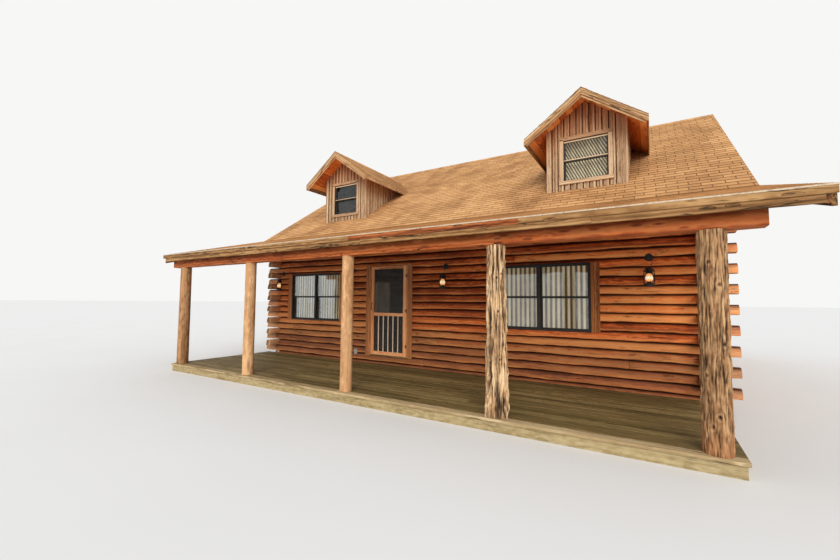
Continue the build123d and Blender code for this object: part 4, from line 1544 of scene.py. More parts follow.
@dataclass
class MainRoof:
    """The broken-pitch roof: shingles on boards over the house and the porch, ridge caps and metal edges."""

    lip: float = 0.016
    lip_thickness: float = 0.0018
    cap_reach: float = 0.145
    cap_exposure: float = 0.14
    main_boards: float = 0.046
    porch_boards: float = 0.044
    covered: float = 0.022

    def main_spans(self, s: float) -> list[tuple[float, float]]:
        """Return the stretches of the front pitch that the dormers' wells leave at a height up the pitch.

        Args:
            s: The way up the pitch.

        Returns:
            Start and end of each stretch along the roof.
        """
        flat = S.half_depth - s / math.hypot(1.0, S.main_slope)
        low, high = S.half_depth - 0.86, -S.valley(S.dormer_peak - S.dormer_skin - S.dormer_slope * S.dormer_half)
        spans = [(-S.half_roof, S.half_roof)]
        if high < flat < low:
            inner = S.dormer_half - 0.1
            a, b = S.dormer_centres
            spans = [(-S.half_roof, a - inner), (a + inner, b - inner), (b + inner, S.half_roof)]
        return spans

    def whole(self, s: float) -> list[tuple[float, float]]:
        """Return the roof's full length at any height."""
        return [(-S.half_roof, S.half_roof)]

    def pitches(self) -> dict[str, tuple[RoofPitch, float]]:
        """Return each pitch with the thickness of its boards.

        Returns:
            A pitch and a thickness for each frame node.
        """
        steep = Vector((0, 1, S.main_slope)).normalized()
        back = Vector((0, -1, S.main_slope)).normalized()
        shallow = Vector((0, 1, S.porch_slope)).normalized()
        right, left = Vector((1, 0, 0)), Vector((-1, 0, 0))
        run = math.hypot(1.0, S.main_slope)
        front = RoofPitch(Vector((0, -S.half_depth, S.break_height)), right, steep, S.half_depth * run, self.main_spans)
        rear = RoofPitch(Vector((0, S.eave_back, S.roof_at(S.eave_back))), left, back, S.eave_back * run, self.whole)
        reach = -S.half_depth - S.eave_front
        # the porch's shingles get thinner butts and less painted shade at them
        porch = RoofPitch(Vector((0, S.eave_front, S.roof_at(S.eave_front))), right, shallow,
                          reach * math.hypot(1.0, S.porch_slope), self.whole, butt=0.004, butt_shade_shift=0.011)
        return {"main_roof_front": (front, self.main_boards), "main_roof_back": (rear, self.main_boards),
                "porch_roof": (porch, self.porch_boards)}

    def build(self) -> None:
        """Build the three pitches, the ridge and the metal edges."""
        for number, (node, (pitch, thick)) in enumerate(self.pitches().items()):
            boards = Stock(20 + number)
            pitch.boards(boards, thick, first=0.0 if node == "main_roof_front" else self.covered)
            boards.piece(f"{node}_boards", [SHEATHING], replaces=[node])
            tabs = Stock(30 + number)
            pitch.shingles(tabs)
            tabs.piece(f"{node}_shingles", [SHINGLES], turn_out=False)
        self.ridge_caps()
        self.metal_edges()

    def ridge_caps(self) -> None:
        """Fold a row of shingle caps over the ridge."""
        stock = Stock(40)
        reach, slope = self.cap_reach, S.main_slope
        at = -S.half_roof
        while at < S.half_roof - 0.05:
            end = min(at + self.cap_exposure + 0.015, S.half_roof)
            rings, grain = [], []
            for x, top in ((at, S.ridge - 0.0015), (end, S.ridge - 0.006)):
                edge, bend = top - slope * reach, top - slope * 0.02 - 0.0015
                points = [(-reach, edge), (-0.02, bend), (0.0, top - 0.003), (0.02, bend), (reach, edge),
                          (reach, edge - 0.006), (0.0, top - 0.010), (-reach, edge - 0.006)]
                rings.append([Vector((x, y, z)) for y, z in points])
                grain.append([(x, abs(y) if x == at else 0.1, 0.0) for y, _ in points])
            stock.loft(rings, grain)
            at += self.cap_exposure
        stock.piece("ridge_caps", [SHINGLES], sharp=20)

    def metal_edges(self) -> None:
        """Run a folded metal edge along the front eave and up both ends of the roof."""
        stock = Stock(41)
        top = S.roof_at(S.eave_front)
        lip, thin = self.lip, self.lip_thickness
        near, middle = S.eave_front + thin / 2 + 0.0005, top - lip / 2 - 0.008
        end = S.half_roof - 0.001
        stock.bar(Vector((-end, near, middle)), Vector((end, near, middle)), Vector((0, 0, lip)), Vector((0, thin, 0)),
                  0.0004, step=0.3, wobble=0.0004)
        line = [(S.eave_front, top), (-S.half_depth, S.break_height), (0.0, S.ridge),
                (S.eave_back, S.roof_at(S.eave_back))]
        for side in (-1, 1):
            x = side * (S.half_roof - thin / 2 - 0.0008)
            for (y0, z0), (y1, z1) in zip(line, line[1:]):
                stock.bar(Vector((x, y0, z0 - 0.02)), Vector((x, y1, z1 - 0.02)), Vector((0, 0, 0.018)),
                          Vector((thin, 0, 0)), 0.0004, step=0.5)
        stock.piece("metal_roof_edge", [DRIP])


@dataclass
class RoofTrim:
    """The boards at the eaves and up the ends of the roof."""

    front_joints: tuple[float, ...] = (-2.45, 0.12, 2.80)
    backer_joints: tuple[float, ...] = (-3.3, 0.35, 3.6)
    back_joints: tuple[float, ...] = (-1.9, 1.9)
    lower: float = 0.012
    rake_inset: float = 0.058
    rake_depth: float = 0.15
    rake_thickness: float = 0.038

    def build(self) -> None:
        """Build the fascias, their backing boards and the rake boards."""
        self.lengths("porch_fascia", self.front_joints, 0.004, 0.0025, self.lower, 2)
        self.lengths("porch_fascia_backer", self.backer_joints, 0.0, 0.0025, 0.0)
        self.lengths("back_fascia", self.back_joints, 0.0, 0.0015, self.lower)
        self.rakes()

    def rakes(self) -> None:
        """Build the boards up the ends of the roof, in three lengths each."""
        stock = Stock(52)
        deep, thick = self.rake_depth, self.rake_thickness
        down = S.skin + deep / 2
        front, below, above = S.eave_front + self.rake_inset, -S.half_depth - 0.001, -S.half_depth + 0.001
        line = [(front, S.roof_at(front)), (below, S.roof_at(below)), (above, S.roof_at(above)), (-0.001, S.ridge),
                (0.001, S.ridge), (S.eave_back, S.roof_at(S.eave_back))]
        for side in (-1, 1):
            x = side * (S.half_roof - thick / 2 - 0.0016)
            for (y0, z0), (y1, z1) in zip(line[::2], line[1::2]):
                stock.bar(Vector((x, y0, z0 - down)), Vector((x, y1, z1 - down)), Vector((0, 0, deep)),
                          Vector((thick, 0, 0)), step=0.4, wobble=0.001)
        stock.piece("rake_planks", [FASCIA], replaces=["rake_boards"])

    def lengths(self, node: str, joints: Sequence[float], set_back: float, wobble: float, lower: float,
                stained: int = -1) -> None:
        """Replace a long board by butted lengths.

        Args:
            node: The frame node.
            joints: Where the lengths meet.
            set_back: How far the face stays behind the frame's.
            wobble: How far the faces wander.
            lower: How far the top stays under the frame's.
            stained: Which length keeps its red stain.
        """
        low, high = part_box(node)
        stock = Stock(len(node) + 50)
        stops = [low.x + wobble, *joints, high.x - wobble]
        for k, (a, b) in enumerate(zip(stops, stops[1:])):
            stock.plank((a + 0.001, low.y + set_back, low.z + 0.001), (b - 0.001, high.y - wobble, high.z - lower),
                        axis=0, cut=0.004, step=0.12, wobble=wobble, finish=int(k == stained))
        stock.piece(f"{node}_planks", [FASCIA, STAINED_FASCIA] if stained >= 0 else [FASCIA], replaces=[node])


@dataclass
class PorchBeam:
    """The hewn header that carries the porch rafters."""

    wander: float = 0.004

    def build(self) -> None:
        """Build both lengths of the header, their tops bevelled to the rafters."""
        stock = Stock(60)
        for low, high in lumps("porch_header"):
            drop = (high.y - low.y) * S.porch_slope
            corners = [Vector((low.x, low.y, low.z)), Vector((low.x, high.y, low.z)), Vector((low.x, high.y, high.z)),
                       Vector((low.x, low.y, high.z - drop))]
            stock.run(eased(corners, 0.012), Vector((high.x - low.x, 0, 0)), step=0.08, wobble=self.wander)
        stock.piece("hewn_porch_header", [BEAM], replaces=["porch_header"])


@dataclass
class Deck:
    """The deck: boards along the front, a paler board at its edge, on a plain frame."""

    board: float = 0.139
    gap: float = 0.006
    edge_board: float = 0.150
    edge_joint: float = -0.2

    def build(self) -> None:
        """Build the boards and dress their frame."""
        low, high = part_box("deck_boards")
        stock = Stock(70)
        back = high.y
        front = low.y + self.edge_board
        rows = round((back - front) / (self.board + self.gap))
        pitch = (back - front) / rows
        for row in range(rows):
            y = front + row * pitch
            joints = [low.x + (high.x - low.x) * (k + stock.chance.uniform(-0.12, 0.12)) / 3 for k in (1, 2)]
            cuts = [low.x, *sorted(joints), high.x]
            for a, b in zip(cuts, cuts[1:]):
                lift = stock.chance.uniform(0.0, 0.0018)
                stock.plank((a + 0.001, y + self.gap / 2, low.z),
                            (b - 0.001, y + pitch - self.gap / 2, high.z - lift),
                            axis=0, cut=0.004, step=0.5, wobble=0.0012)
        for a, b in ((low.x, self.edge_joint), (self.edge_joint, high.x)):
            stock.plank((a + 0.001, low.y, low.z), (b - 0.001, front - self.gap, high.z),
                        axis=0, cut=0.006, step=0.25, wobble=0.002, finish=1)
        stock.piece("deck_planks", [DECKING, DECK_EDGE], replaces=["deck_boards"])
        dress("deck_frame", DECK_FRAMING, 0.003)


@dataclass
class Dormers:
    """The two gabled dormers: battened walls, cased windows, shingled roofs and barge boards."""

    batten: float = 0.034
    batten_depth: float = 0.016
    board: float = 0.009
    gap: float = 0.022
    spacing: float = 0.118
    corner: float = 0.062
    corner_depth: float = 0.030
    casing: float = 0.052
    casing_depth: float = 0.036
    lap: float = 0.020
    barge_depth: float = 0.140
    barge_thickness: float = 0.020
    sash_inset: float = 0.028
    sash_back: float = 0.004
    sash_depth: float = 0.010
    cap_reach: float = 0.12
    cap_exposure: float = 0.135

    def build(self) -> None:
        """Build both dormers."""
        # the dormer walls show only in the gaps between the boards, so their dark finish is painted shade
        dress("dormer_walls", PAINTED_GAP_SHADE)
        trims, roofs, boards, barges, eaves = Stock(80), Stock(81), Stock(82), Stock(83), Stock(84)
        for centre, window in zip(S.dormer_centres, upper_windows(gable=False)):
            self.front(trims, centre, window)
            for side in (-1, 1):
                self.cheek(trims, centre, side)
                self.pitch(roofs, boards, centre, side)
                self.barge(barges, centre, side)
                self.eave(eaves, centre, side)
            self.caps(roofs, centre)
        trims.piece("dormer_battens_and_casings", [BATTEN, PLANK, SASH])
        roofs.piece("dormer_shingles", [SHINGLES], turn_out=False)
        boards.piece("dormer_roof_boards", [SOFFIT_PAINTED_LIGHT], replaces=["dormer_roofs"])
        barges.piece("dormer_barge_planks", [BARGE], replaces=["dormer_barge_boards"])
        eaves.piece("dormer_eave_planks", [BARGE], replaces=["dormer_eave_boards"])

    def under(self, away: float) -> float:
        """Return the height of the dormer roof's underside at a distance from its middle."""
        return S.dormer_peak - S.dormer_skin - S.dormer_slope * abs(away)

    def front(self, stock: Stock, centre: float, window: Box) -> None:
        """Add the boards, battens, corner boards and window casing of a dormer's front.

        Args:
            stock: The piece that they belong to.
            centre: The dormer's middle along X.
            window: Corners of its window frame.
        """
        y = S.dormer_front
        low, high = window
        wide, out = self.casing, y - self.casing_depth

        def foot(x: float, y: float) -> float:
            """Return the height of the main roof."""
            return S.roof_at(S.dormer_front) - 0.03

        def head(x: float, y: float) -> float:
            """Return the height of the dormer roof's underside."""
            return self.under(x - centre) - 0.002

        def stretch(a: float, b: float, near: float, far: float, finish: int) -> None:
            """Add an upright board from a to b, cut round the window and its casing.

            Args:
                a: Its left edge.
                b: Its right edge.
                near: Its outer face.
                far: Its inner face.
                finish: Index of its finish.
            """
            left, right = low.x - wide, high.x + wide
            for c, d, cut in ((a, min(b, left), False), (max(a, left), min(b, right), True), (max(a, right), b, False)):
                if d - c < 0.004:
                    continue
                if cut:
                    stock.upright((c, near), (d, far), foot, lambda x, y: low.z - wide, finish=finish)
                    stock.upright((c, near), (d, far), lambda x, y: high.z + wide, head, finish=finish)
                else:
                    stock.upright((c, near), (d, far), foot, head, finish=finish)

        first, last = centre - S.dormer_half + self.corner, centre + S.dormer_half - self.corner
        count = round((last - first) / self.spacing)
        step = (last - first) / count
        for k in range(count + 1):
            x = first + step * k
            if k < count:
                stretch(x + self.gap, x + step, y - self.board, y + 0.002, 1)
            stretch(x - self.batten, x, y - self.board - self.batten_depth, y - self.board + 0.001, 0)
        for side in (-1, 1):
            edge = centre + side * S.dormer_half
            a, b = sorted((edge - side * self.corner, edge + side * 0.004))
            stock.upright((a, y - self.corner_depth), (b, y + 0.002), foot, head)
        lap, behind = self.lap, y - self.board
        stock.plank((low.x - wide, out, low.z), (low.x + lap, behind, high.z), axis=2, step=0.3)
        stock.plank((high.x - lap, out, low.z), (high.x + wide, behind, high.z), axis=2, step=0.3)
        stock.plank((low.x - wide, out, high.z - lap), (high.x + wide, behind, high.z + wide), axis=0, step=0.3)
        stock.plank((low.x - wide - 0.01, out - 0.012, low.z - wide), (high.x + wide + 0.01, behind, low.z + lap),
                    axis=0, step=0.3)
        middle, near = (low.z + high.z) / 2, y + self.sash_back
        for foot_z, head_z in ((high.z - 0.058, high.z - 0.030), (middle + 0.004, middle + 0.019)):
            stock.plank((low.x + self.sash_inset, near, foot_z),
                        (high.x - self.sash_inset, near + self.sash_depth, head_z),
                        axis=0, cut=0.002, step=0.3, finish=2)

    def cheek(self, stock: Stock, centre: float, side: int) -> None:
        """Add the boards and battens of one side wall, each down to the main roof.

        Args:
            stock: The piece that they belong to.
            centre: The dormer's middle along X.
            side: -1 for its left side, 1 for its right.
        """
        face = centre + side * S.dormer_half
        top = self.under(S.dormer_half) - 0.002

        def foot(x: float, y: float) -> float:
            """Return the height of the main roof."""
            return min(S.roof_at(y) - 0.02, top - 0.005)

        def head(x: float, y: float) -> float:
            """Return the height of the wall's top."""
            return top

        def board(start: float, end: float, near: float, far: float, finish: int) -> None:
            """Add an upright board from start to end along the wall."""
            a, b = sorted((face + side * near, face + side * far))
            stock.upright((a, start), (b, end), foot, head, finish=finish)

        board(S.dormer_front - self.corner_depth, S.dormer_front + self.corner / 2, -0.002, self.corner_depth, 0)
        y = S.dormer_front + self.corner / 2
        while S.roof_at(y + 0.04) < top - 0.02:
            end = y + self.spacing - self.gap
            board(y, end, -0.002, self.board, 1)
            board(end - self.batten, end, self.board - 0.001, self.board + self.batten_depth, 0)
            y += self.spacing

    def pitch(self, tabs: Stock, boards: Stock, centre: float, side: int) -> None:
        """Add the boards and shingles of one side of a dormer's roof.

        Args:
            tabs: The shingles' piece.
            boards: The boards' piece.
            centre: The dormer's middle along X.
            side: -1 for its left side, 1 for its right.
        """
        end = S.dormer_peak - S.dormer_slope * S.dormer_span
        foot = Vector((centre + side * S.dormer_span, 0.0, end))
        up = Vector((-side, 0, S.dormer_slope)).normalized()
        rise = S.dormer_slope / math.hypot(1.0, S.dormer_slope)

        def spans(s: float) -> list[tuple[float, float]]:
            """Return the stretch from the front edge to the valley at a height up the pitch."""
            back = S.valley(end + s * rise) + 0.06
            return [(S.dormer_eave, back)] if side > 0 else [(-back, -S.dormer_eave)]

        tall = S.dormer_span * math.hypot(1.0, S.dormer_slope)
        made = RoofPitch(foot, Vector((0, side, 0)), up, tall, spans, exposure=0.12, board=0.15)
        made.shingles(tabs)
        made.boards(boards, 0.036, 0.018)

    def caps(self, stock: Stock, centre: float) -> None:
        """Fold shingle caps over a dormer's ridge.

        Args:
            stock: The piece that they belong to.
            centre: The dormer's middle along X.
        """
        at = S.dormer_eave
        reach, slope = self.cap_reach, S.dormer_slope
        while at < S.valley(S.dormer_peak):
            end = at + self.cap_exposure + 0.015
            rings, grain = [], []
            for y, top in ((at, S.dormer_peak - 0.0015), (end, S.dormer_peak - 0.006)):
                edge = top - slope * reach
                points = [(-reach, edge), (0.0, top - 0.002), (reach, edge), (reach, edge - 0.006), (0.0, top - 0.009),
                          (-reach, edge - 0.006)]
                rings.append([Vector((centre + x, y, z)) for x, z in points])
                grain.append([(y, abs(x) if y == at else 0.1, 0.0) for x, _ in points])
            stock.loft(rings, grain)
            at += self.cap_exposure

    def barge(self, stock: Stock, centre: float, side: int) -> None:
        """Add one barge board and the thinner strip below and behind it, both cut plumb at their ends.

        Args:
            stock: The piece that they belong to.
            centre: The dormer's middle along X.
            side: -1 for its left side, 1 for its right.
        """

        def slanted(end: float, y: float, down: float, deep: float, thick: float, step: float, wobble: float) -> None:
            """Add a board from the peak to a distance from the dormer's middle.

            Args:
                end: That distance.
                y: The board's middle from front to back.
                down: How far its middle is below the roof.
                deep: Its depth.
                thick: Its thickness.
                step: Longest distance between rings.
                wobble: How far its surface wanders.
            """
            stock.bar(Vector((centre + side * 0.001, y, S.dormer_peak - down)),
                      Vector((centre + side * end, y, S.dormer_peak - S.dormer_slope * end - down)),
                      Vector((0, 0, deep)), Vector((0, thick, 0)), step=step, wobble=wobble)

        y = S.dormer_eave + self.barge_thickness / 2 + 0.002
        down = self.barge_depth / 2 + 0.014
        slanted(S.dormer_span, y, down, self.barge_depth - 0.014, self.barge_thickness - 0.004, 0.12, 0.0015)
        y += self.barge_thickness / 2 + 0.014
        down += self.barge_depth / 2 + 0.016
        slanted(S.dormer_span - 0.05, y, down, 0.046, 0.026, 0.3, 0.0)

    def eave(self, stock: Stock, centre: float, side: int) -> None:
        """Add the board along one eave of a dormer, back to the main roof.

        Args:
            stock: The piece that it belongs to.
            centre: The dormer's middle along X.
            side: -1 for its left side, 1 for its right.
        """
        top = S.dormer_peak - S.dormer_slope * S.dormer_span - 0.012
        low = top - 0.126
        outer = centre + side * S.dormer_span
        a, b = sorted((outer, outer - side * 0.02))
        middle = S.valley((top + low) / 2) + 0.05
        stock.plank((a, S.dormer_eave + 0.02, low), (b, middle, top), axis=1, step=0.3, wobble=0.001)


@dataclass
class Gables:
    """The boarded gable walls with their battens and window casings."""

    batten: float = 0.045
    depth: float = 0.018
    spacing: float = 0.305
    casing: float = 0.07

    def build(self) -> None:
        """Build the battens and casings on both gables."""
        dress("gable_walls", BOARDING)
        stock = Stock(90)
        low, high = upper_windows(gable=True)[0]

        def foot(x: float, y: float) -> float:
            """Return the height of the log wall."""
            return S.wall_top

        def head(x: float, y: float) -> float:
            """Return the height of the roof's underside."""
            return S.ridge - S.main_slope * abs(y) - S.skin - 0.004

        for side in (-1, 1):
            face = side * S.half_length
            count = math.floor(S.half_depth / self.spacing)
            a, b = sorted((face - side * 0.002, face + side * self.depth))
            for y in (k * self.spacing for k in range(-count, count + 1)):
                stretches = [(foot, head)]
                if low.y - self.casing < y < high.y + self.casing:
                    stretches = [(foot, lambda x, y: low.z - self.casing), (lambda x, y: high.z + self.casing, head)]
                for start, end in stretches:
                    stock.upright((a, y - self.batten / 2), (b, y + self.batten / 2), start, end)
            a, b = sorted((face - side * 0.002, face + side * 0.026))
            wide = self.casing
            stock.plank((a, low.y - wide, low.z), (b, low.y, high.z), axis=2)
            stock.plank((a, high.y, low.z), (b, high.y + wide, high.z), axis=2)
            stock.plank((a, low.y - wide, high.z), (b, high.y + wide, high.z + wide), axis=1)
            stock.plank((a, low.y - wide, low.z - wide), (b, high.y + wide, low.z), axis=1)
        stock.piece("gable_battens_and_casings", [BATTEN])


@dataclass(frozen=True)
class Hanging:
    """How a window's cloth hangs: along which axis, in which plane, between which heights and in what pleats."""

    axis: int
    plane: float
    foot: float
    top: float
    pleat: float
    lean: float

    def at(self, along: float, off: float, z: float) -> Vector:
        """Return the point at a place along the wall, so far off the cloth's plane, at a height.

        Args:
            along: The place along the wall.
            off: How far it is off the plane.
            z: The height.

        Returns:
            The point.
        """
        made = Vector((0, 0, z))
        made[self.axis], made[1 - self.axis] = along, self.plane + off
        return made

    def inward(self) -> float:
        """Return the way into the house across the wall, -1 or 1."""
        return 1.0 if self.plane < 0 else -1.0


@dataclass
class Windows:
    """Window frames, sashes and panes with the pleated curtains behind them."""

    pleat: float = 0.088
    depth: float = 0.030
    back: float = 0.200
    drop: float = 0.02
    rod: float = 0.008
    lean: float = 0.50
    blind_pleat: float = 0.052
    blind_rows: int = 54
    curtain_rows: int = 10
    pleat_columns: int = 10
    curtain_shade: float = 0.42
    blind_shade: float = 0.62
    overhang: float = 0.06
    side_hem: float = 0.02
    foot_hem: float = 0.03
    knob: Profile = ((0.004, 0.0), (0.014, 0.006), (0.017, 0.016), (0.012, 0.027), (0.003, 0.032))
    gaps: tuple[tuple[float, float], ...] = ((-0.02, 0.02), (0.02, 0.15))

    def build(self) -> None:
        """Finish the frame's own window parts and hang the curtains."""
        dress("window_frames", BRONZE, 0.003)
        dress("window_sashes", BRONZE, 0.002)
        dress("window_glass", GLASS)
        number = 0
        for low, high in lumps("window_frames"):
            main = low.z < 2.0
            axis = 0 if high.x - low.x > high.y - low.y else 1
            other = 1 - axis
            inward = -1.0 if (low + high)[other] > 0 else 1.0
            face = low[other] if inward > 0 else high[other]
            if not main and (axis == 1 or (low.x + high.x) < 0):
                continue
            number += 1
            gap = self.gaps[number % 2 if axis == 0 else 0] if main else None
            way = Hanging(axis, face + inward * self.back, low.z - self.foot_hem, high.z + self.drop - self.rod,
                          self.pleat if main else self.blind_pleat, 0.0 if main else self.lean)
            self.hang(number, low[axis], high[axis], way, gap)

    def hang(self, number: int, low: float, high: float, way: Hanging, gap: tuple[float, float] | None) -> None:
        """Hang a window's curtains on their rod.

        Args:
            number: The window's number.
            low: Start of its frame along the wall.
            high: End of its frame along the wall.
            way: How the cloth hangs.
            gap: Start and end of the gap between two curtains, from the middle, or none for one blind.
        """
        middle = (low + high) / 2
        top = way.top + self.rod
        ends = [way.at(low - self.overhang, 0.0, top), way.at(high + self.overhang, 0.0, top)]
        stock = Stock(200 + number)
        stock.wire([ends[0], ends[0].lerp(ends[1], 0.5), ends[1]], self.rod, 12)
        for end in ends:
            out = (ends[1] - ends[0]).normalized() * (-1 if end is ends[0] else 1)
            stock.turned(end, self.knob, 14, way=out)
        rod = stock.piece(f"curtain_rod_{number}", [BRONZE])
        near, far = low - self.side_hem, high + self.side_hem
        parts = [(near, far)] if gap is None else [(near, middle + gap[0]), (middle + gap[1], far)]
        for k, (a, b) in enumerate(parts):
            self.cloth(f"curtain_{number}_{k + 1}", a, b, way)

    def cloth(self, name: str, a: float, b: float, way: Hanging) -> None:
        """Hang one pleated curtain.

        Args:
            name: Its name.
            a: Its start along the wall.
            b: Its end along the wall.
            way: How it hangs.
        """
        foot, top, lean = way.foot, way.top, way.lean
        pleats = max(2, round((b - a) / way.pleat))
        columns, rows = pleats * self.pleat_columns, self.blind_rows if lean else self.curtain_rows
        depth = self.depth * way.pleat / self.pleat
        shaded = self.blind_shade if lean else self.curtain_shade
        corners, fold_shades, flat = [], [], 0.0
        for j in range(rows + 1):
            z = top + (foot - top) * j / rows
            last = None
            for i in range(columns + 1):
                share = i / columns
                phase = math.tau * (pleats * share + lean * (z - top) / (b - a) * pleats)
                phase += 0.5 * noise.noise((share * 5, a, z * 0.4))
                off = depth * math.sin(phase) * (0.75 + 0.25 * math.sin(phase * 0.37 + a))
                corner = way.at(a + (b - a) * share, off, z)
                corners.append(tuple(corner))
                # painted shade that rises and falls with the pleats
                fold_shades.append(max(0.0, min(0.97, shaded - 0.95 * math.sin(phase) * way.inward())))
                if j == rows // 2 and last is not None:
                    flat += (corner - last).length
                last = corner
        wide = columns + 1
        starts = [j * wide + i for j in range(rows) for i in range(columns)]
        faces = [(start, start + 1, start + wide + 1, start + wide) for start in starts]
        mesh = bpy.data.meshes.new(name)
        mesh.from_pydata(corners, [], faces)
        mesh.attributes.new("fold_shade", "FLOAT", "POINT").data.foreach_set("value", fold_shades)
        mesh.materials.append(CURTAIN.material())
        mesh.shade_smooth()
        if lean:
            flat = sum(face.area for face in mesh.polygons) / (top - foot)
        made = placed(name, mesh)
        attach(made, "house")
        LOG.info("%s: %d pleats", name, pleats)


@dataclass
class WallTrim:
    """The boards beside the windows and the door, and the door's frame."""

    door_board: float = 1.6
    jamb: float = 0.034
    sill: float = 0.030

    def build(self) -> None:
        """Build the trim boards and the door frame's four boards."""
        stock = Stock(300)
        for low, high in lumps("wall_trim_boards"):
            beside_door = high.z - low.z > self.door_board
            stock.plank(low, high, axis=2, cut=0.004, step=0.12, wobble=0.0012, finish=int(beside_door))
        stock.piece("trim_planks", [TRIM, DOOR_TRIM], replaces=["wall_trim_boards"])
        low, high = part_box("door_frame")
        jamb, sill = self.jamb, self.sill
        stock = Stock(301)
        for x in (low.x, high.x - jamb):
            stock.plank((x, low.y, low.z + sill), (x + jamb, high.y, high.z - jamb), axis=2, cut=0.003, step=0.3)
        stock.plank((low.x, low.y, high.z - jamb), (high.x, high.y, high.z), axis=0, cut=0.003, step=0.3)
        stock.plank((low.x, low.y, low.z), (high.x, high.y, low.z + sill), axis=0, cut=0.006, step=0.3, finish=1)
        stock.piece("door_frame_boards", [TRIM, DECKING], replaces=["door_frame"])


@dataclass
class ScreenDoor:
    """The screen door: rails and stiles, turned spindles, insect screen, pull handle and hinges."""

    body: str = "front_screen_door"
    stile: float = 0.080
    top_rail: float = 0.062
    mid_rail: float = 0.070
    mid_height: float = 0.927
    bottom_rail: float = 0.078
    spindles: int = 5
    spindle_radius: float = 0.013

    def build(self) -> None:
        """Build the door's timber and finish its screen and hardware."""
        low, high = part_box("screen_door")
        stock = Stock(310)
        inner = (low.x + self.stile, high.x - self.stile)
        for x in (low.x, high.x - self.stile):
            stock.plank((x, low.y, low.z), (x + self.stile, high.y, high.z), axis=2, cut=0.004, step=0.2, wobble=0.0004)
        rails = ((low.z, low.z + self.bottom_rail), (high.z - self.top_rail, high.z),
                 (low.z + self.mid_height - self.mid_rail / 2, low.z + self.mid_height + self.mid_rail / 2))
        for foot, head in rails:
            stock.plank((inner[0], low.y + 0.001, foot), (inner[1], high.y - 0.001, head), axis=0, cut=0.003, step=0.2)
        foot, head = rails[0][1], rails[2][0]
        tall = head - foot
        r = self.spindle_radius
        lower = ((0.95, -0.004), (0.95, 0.03), (0.7, 0.036), (1.0, 0.048), (1.0, 0.10), (0.72, 0.112), (0.86, 0.13))
        profile = [*((r * wide, up) for wide, up in lower), (r * 0.92, tall / 2),
                   *((r * wide, tall - up) for wide, up in reversed(lower))]
        for k in range(self.spindles):
            x = inner[0] + (inner[1] - inner[0]) * (k + 1) / (self.spindles + 1)
            stock.turned(Vector((x, low.y + r + 0.001, foot)), profile, 16, finish=1)
        stock.piece("screen_door_timber", [DOOR, SPINDLE], self.body, ["screen_door"])
        dress("door_screen", SCREEN)
        dress("door_hardware", BLACK, 0.001)
        dress("frame_hinges", BLACK, 0.001)


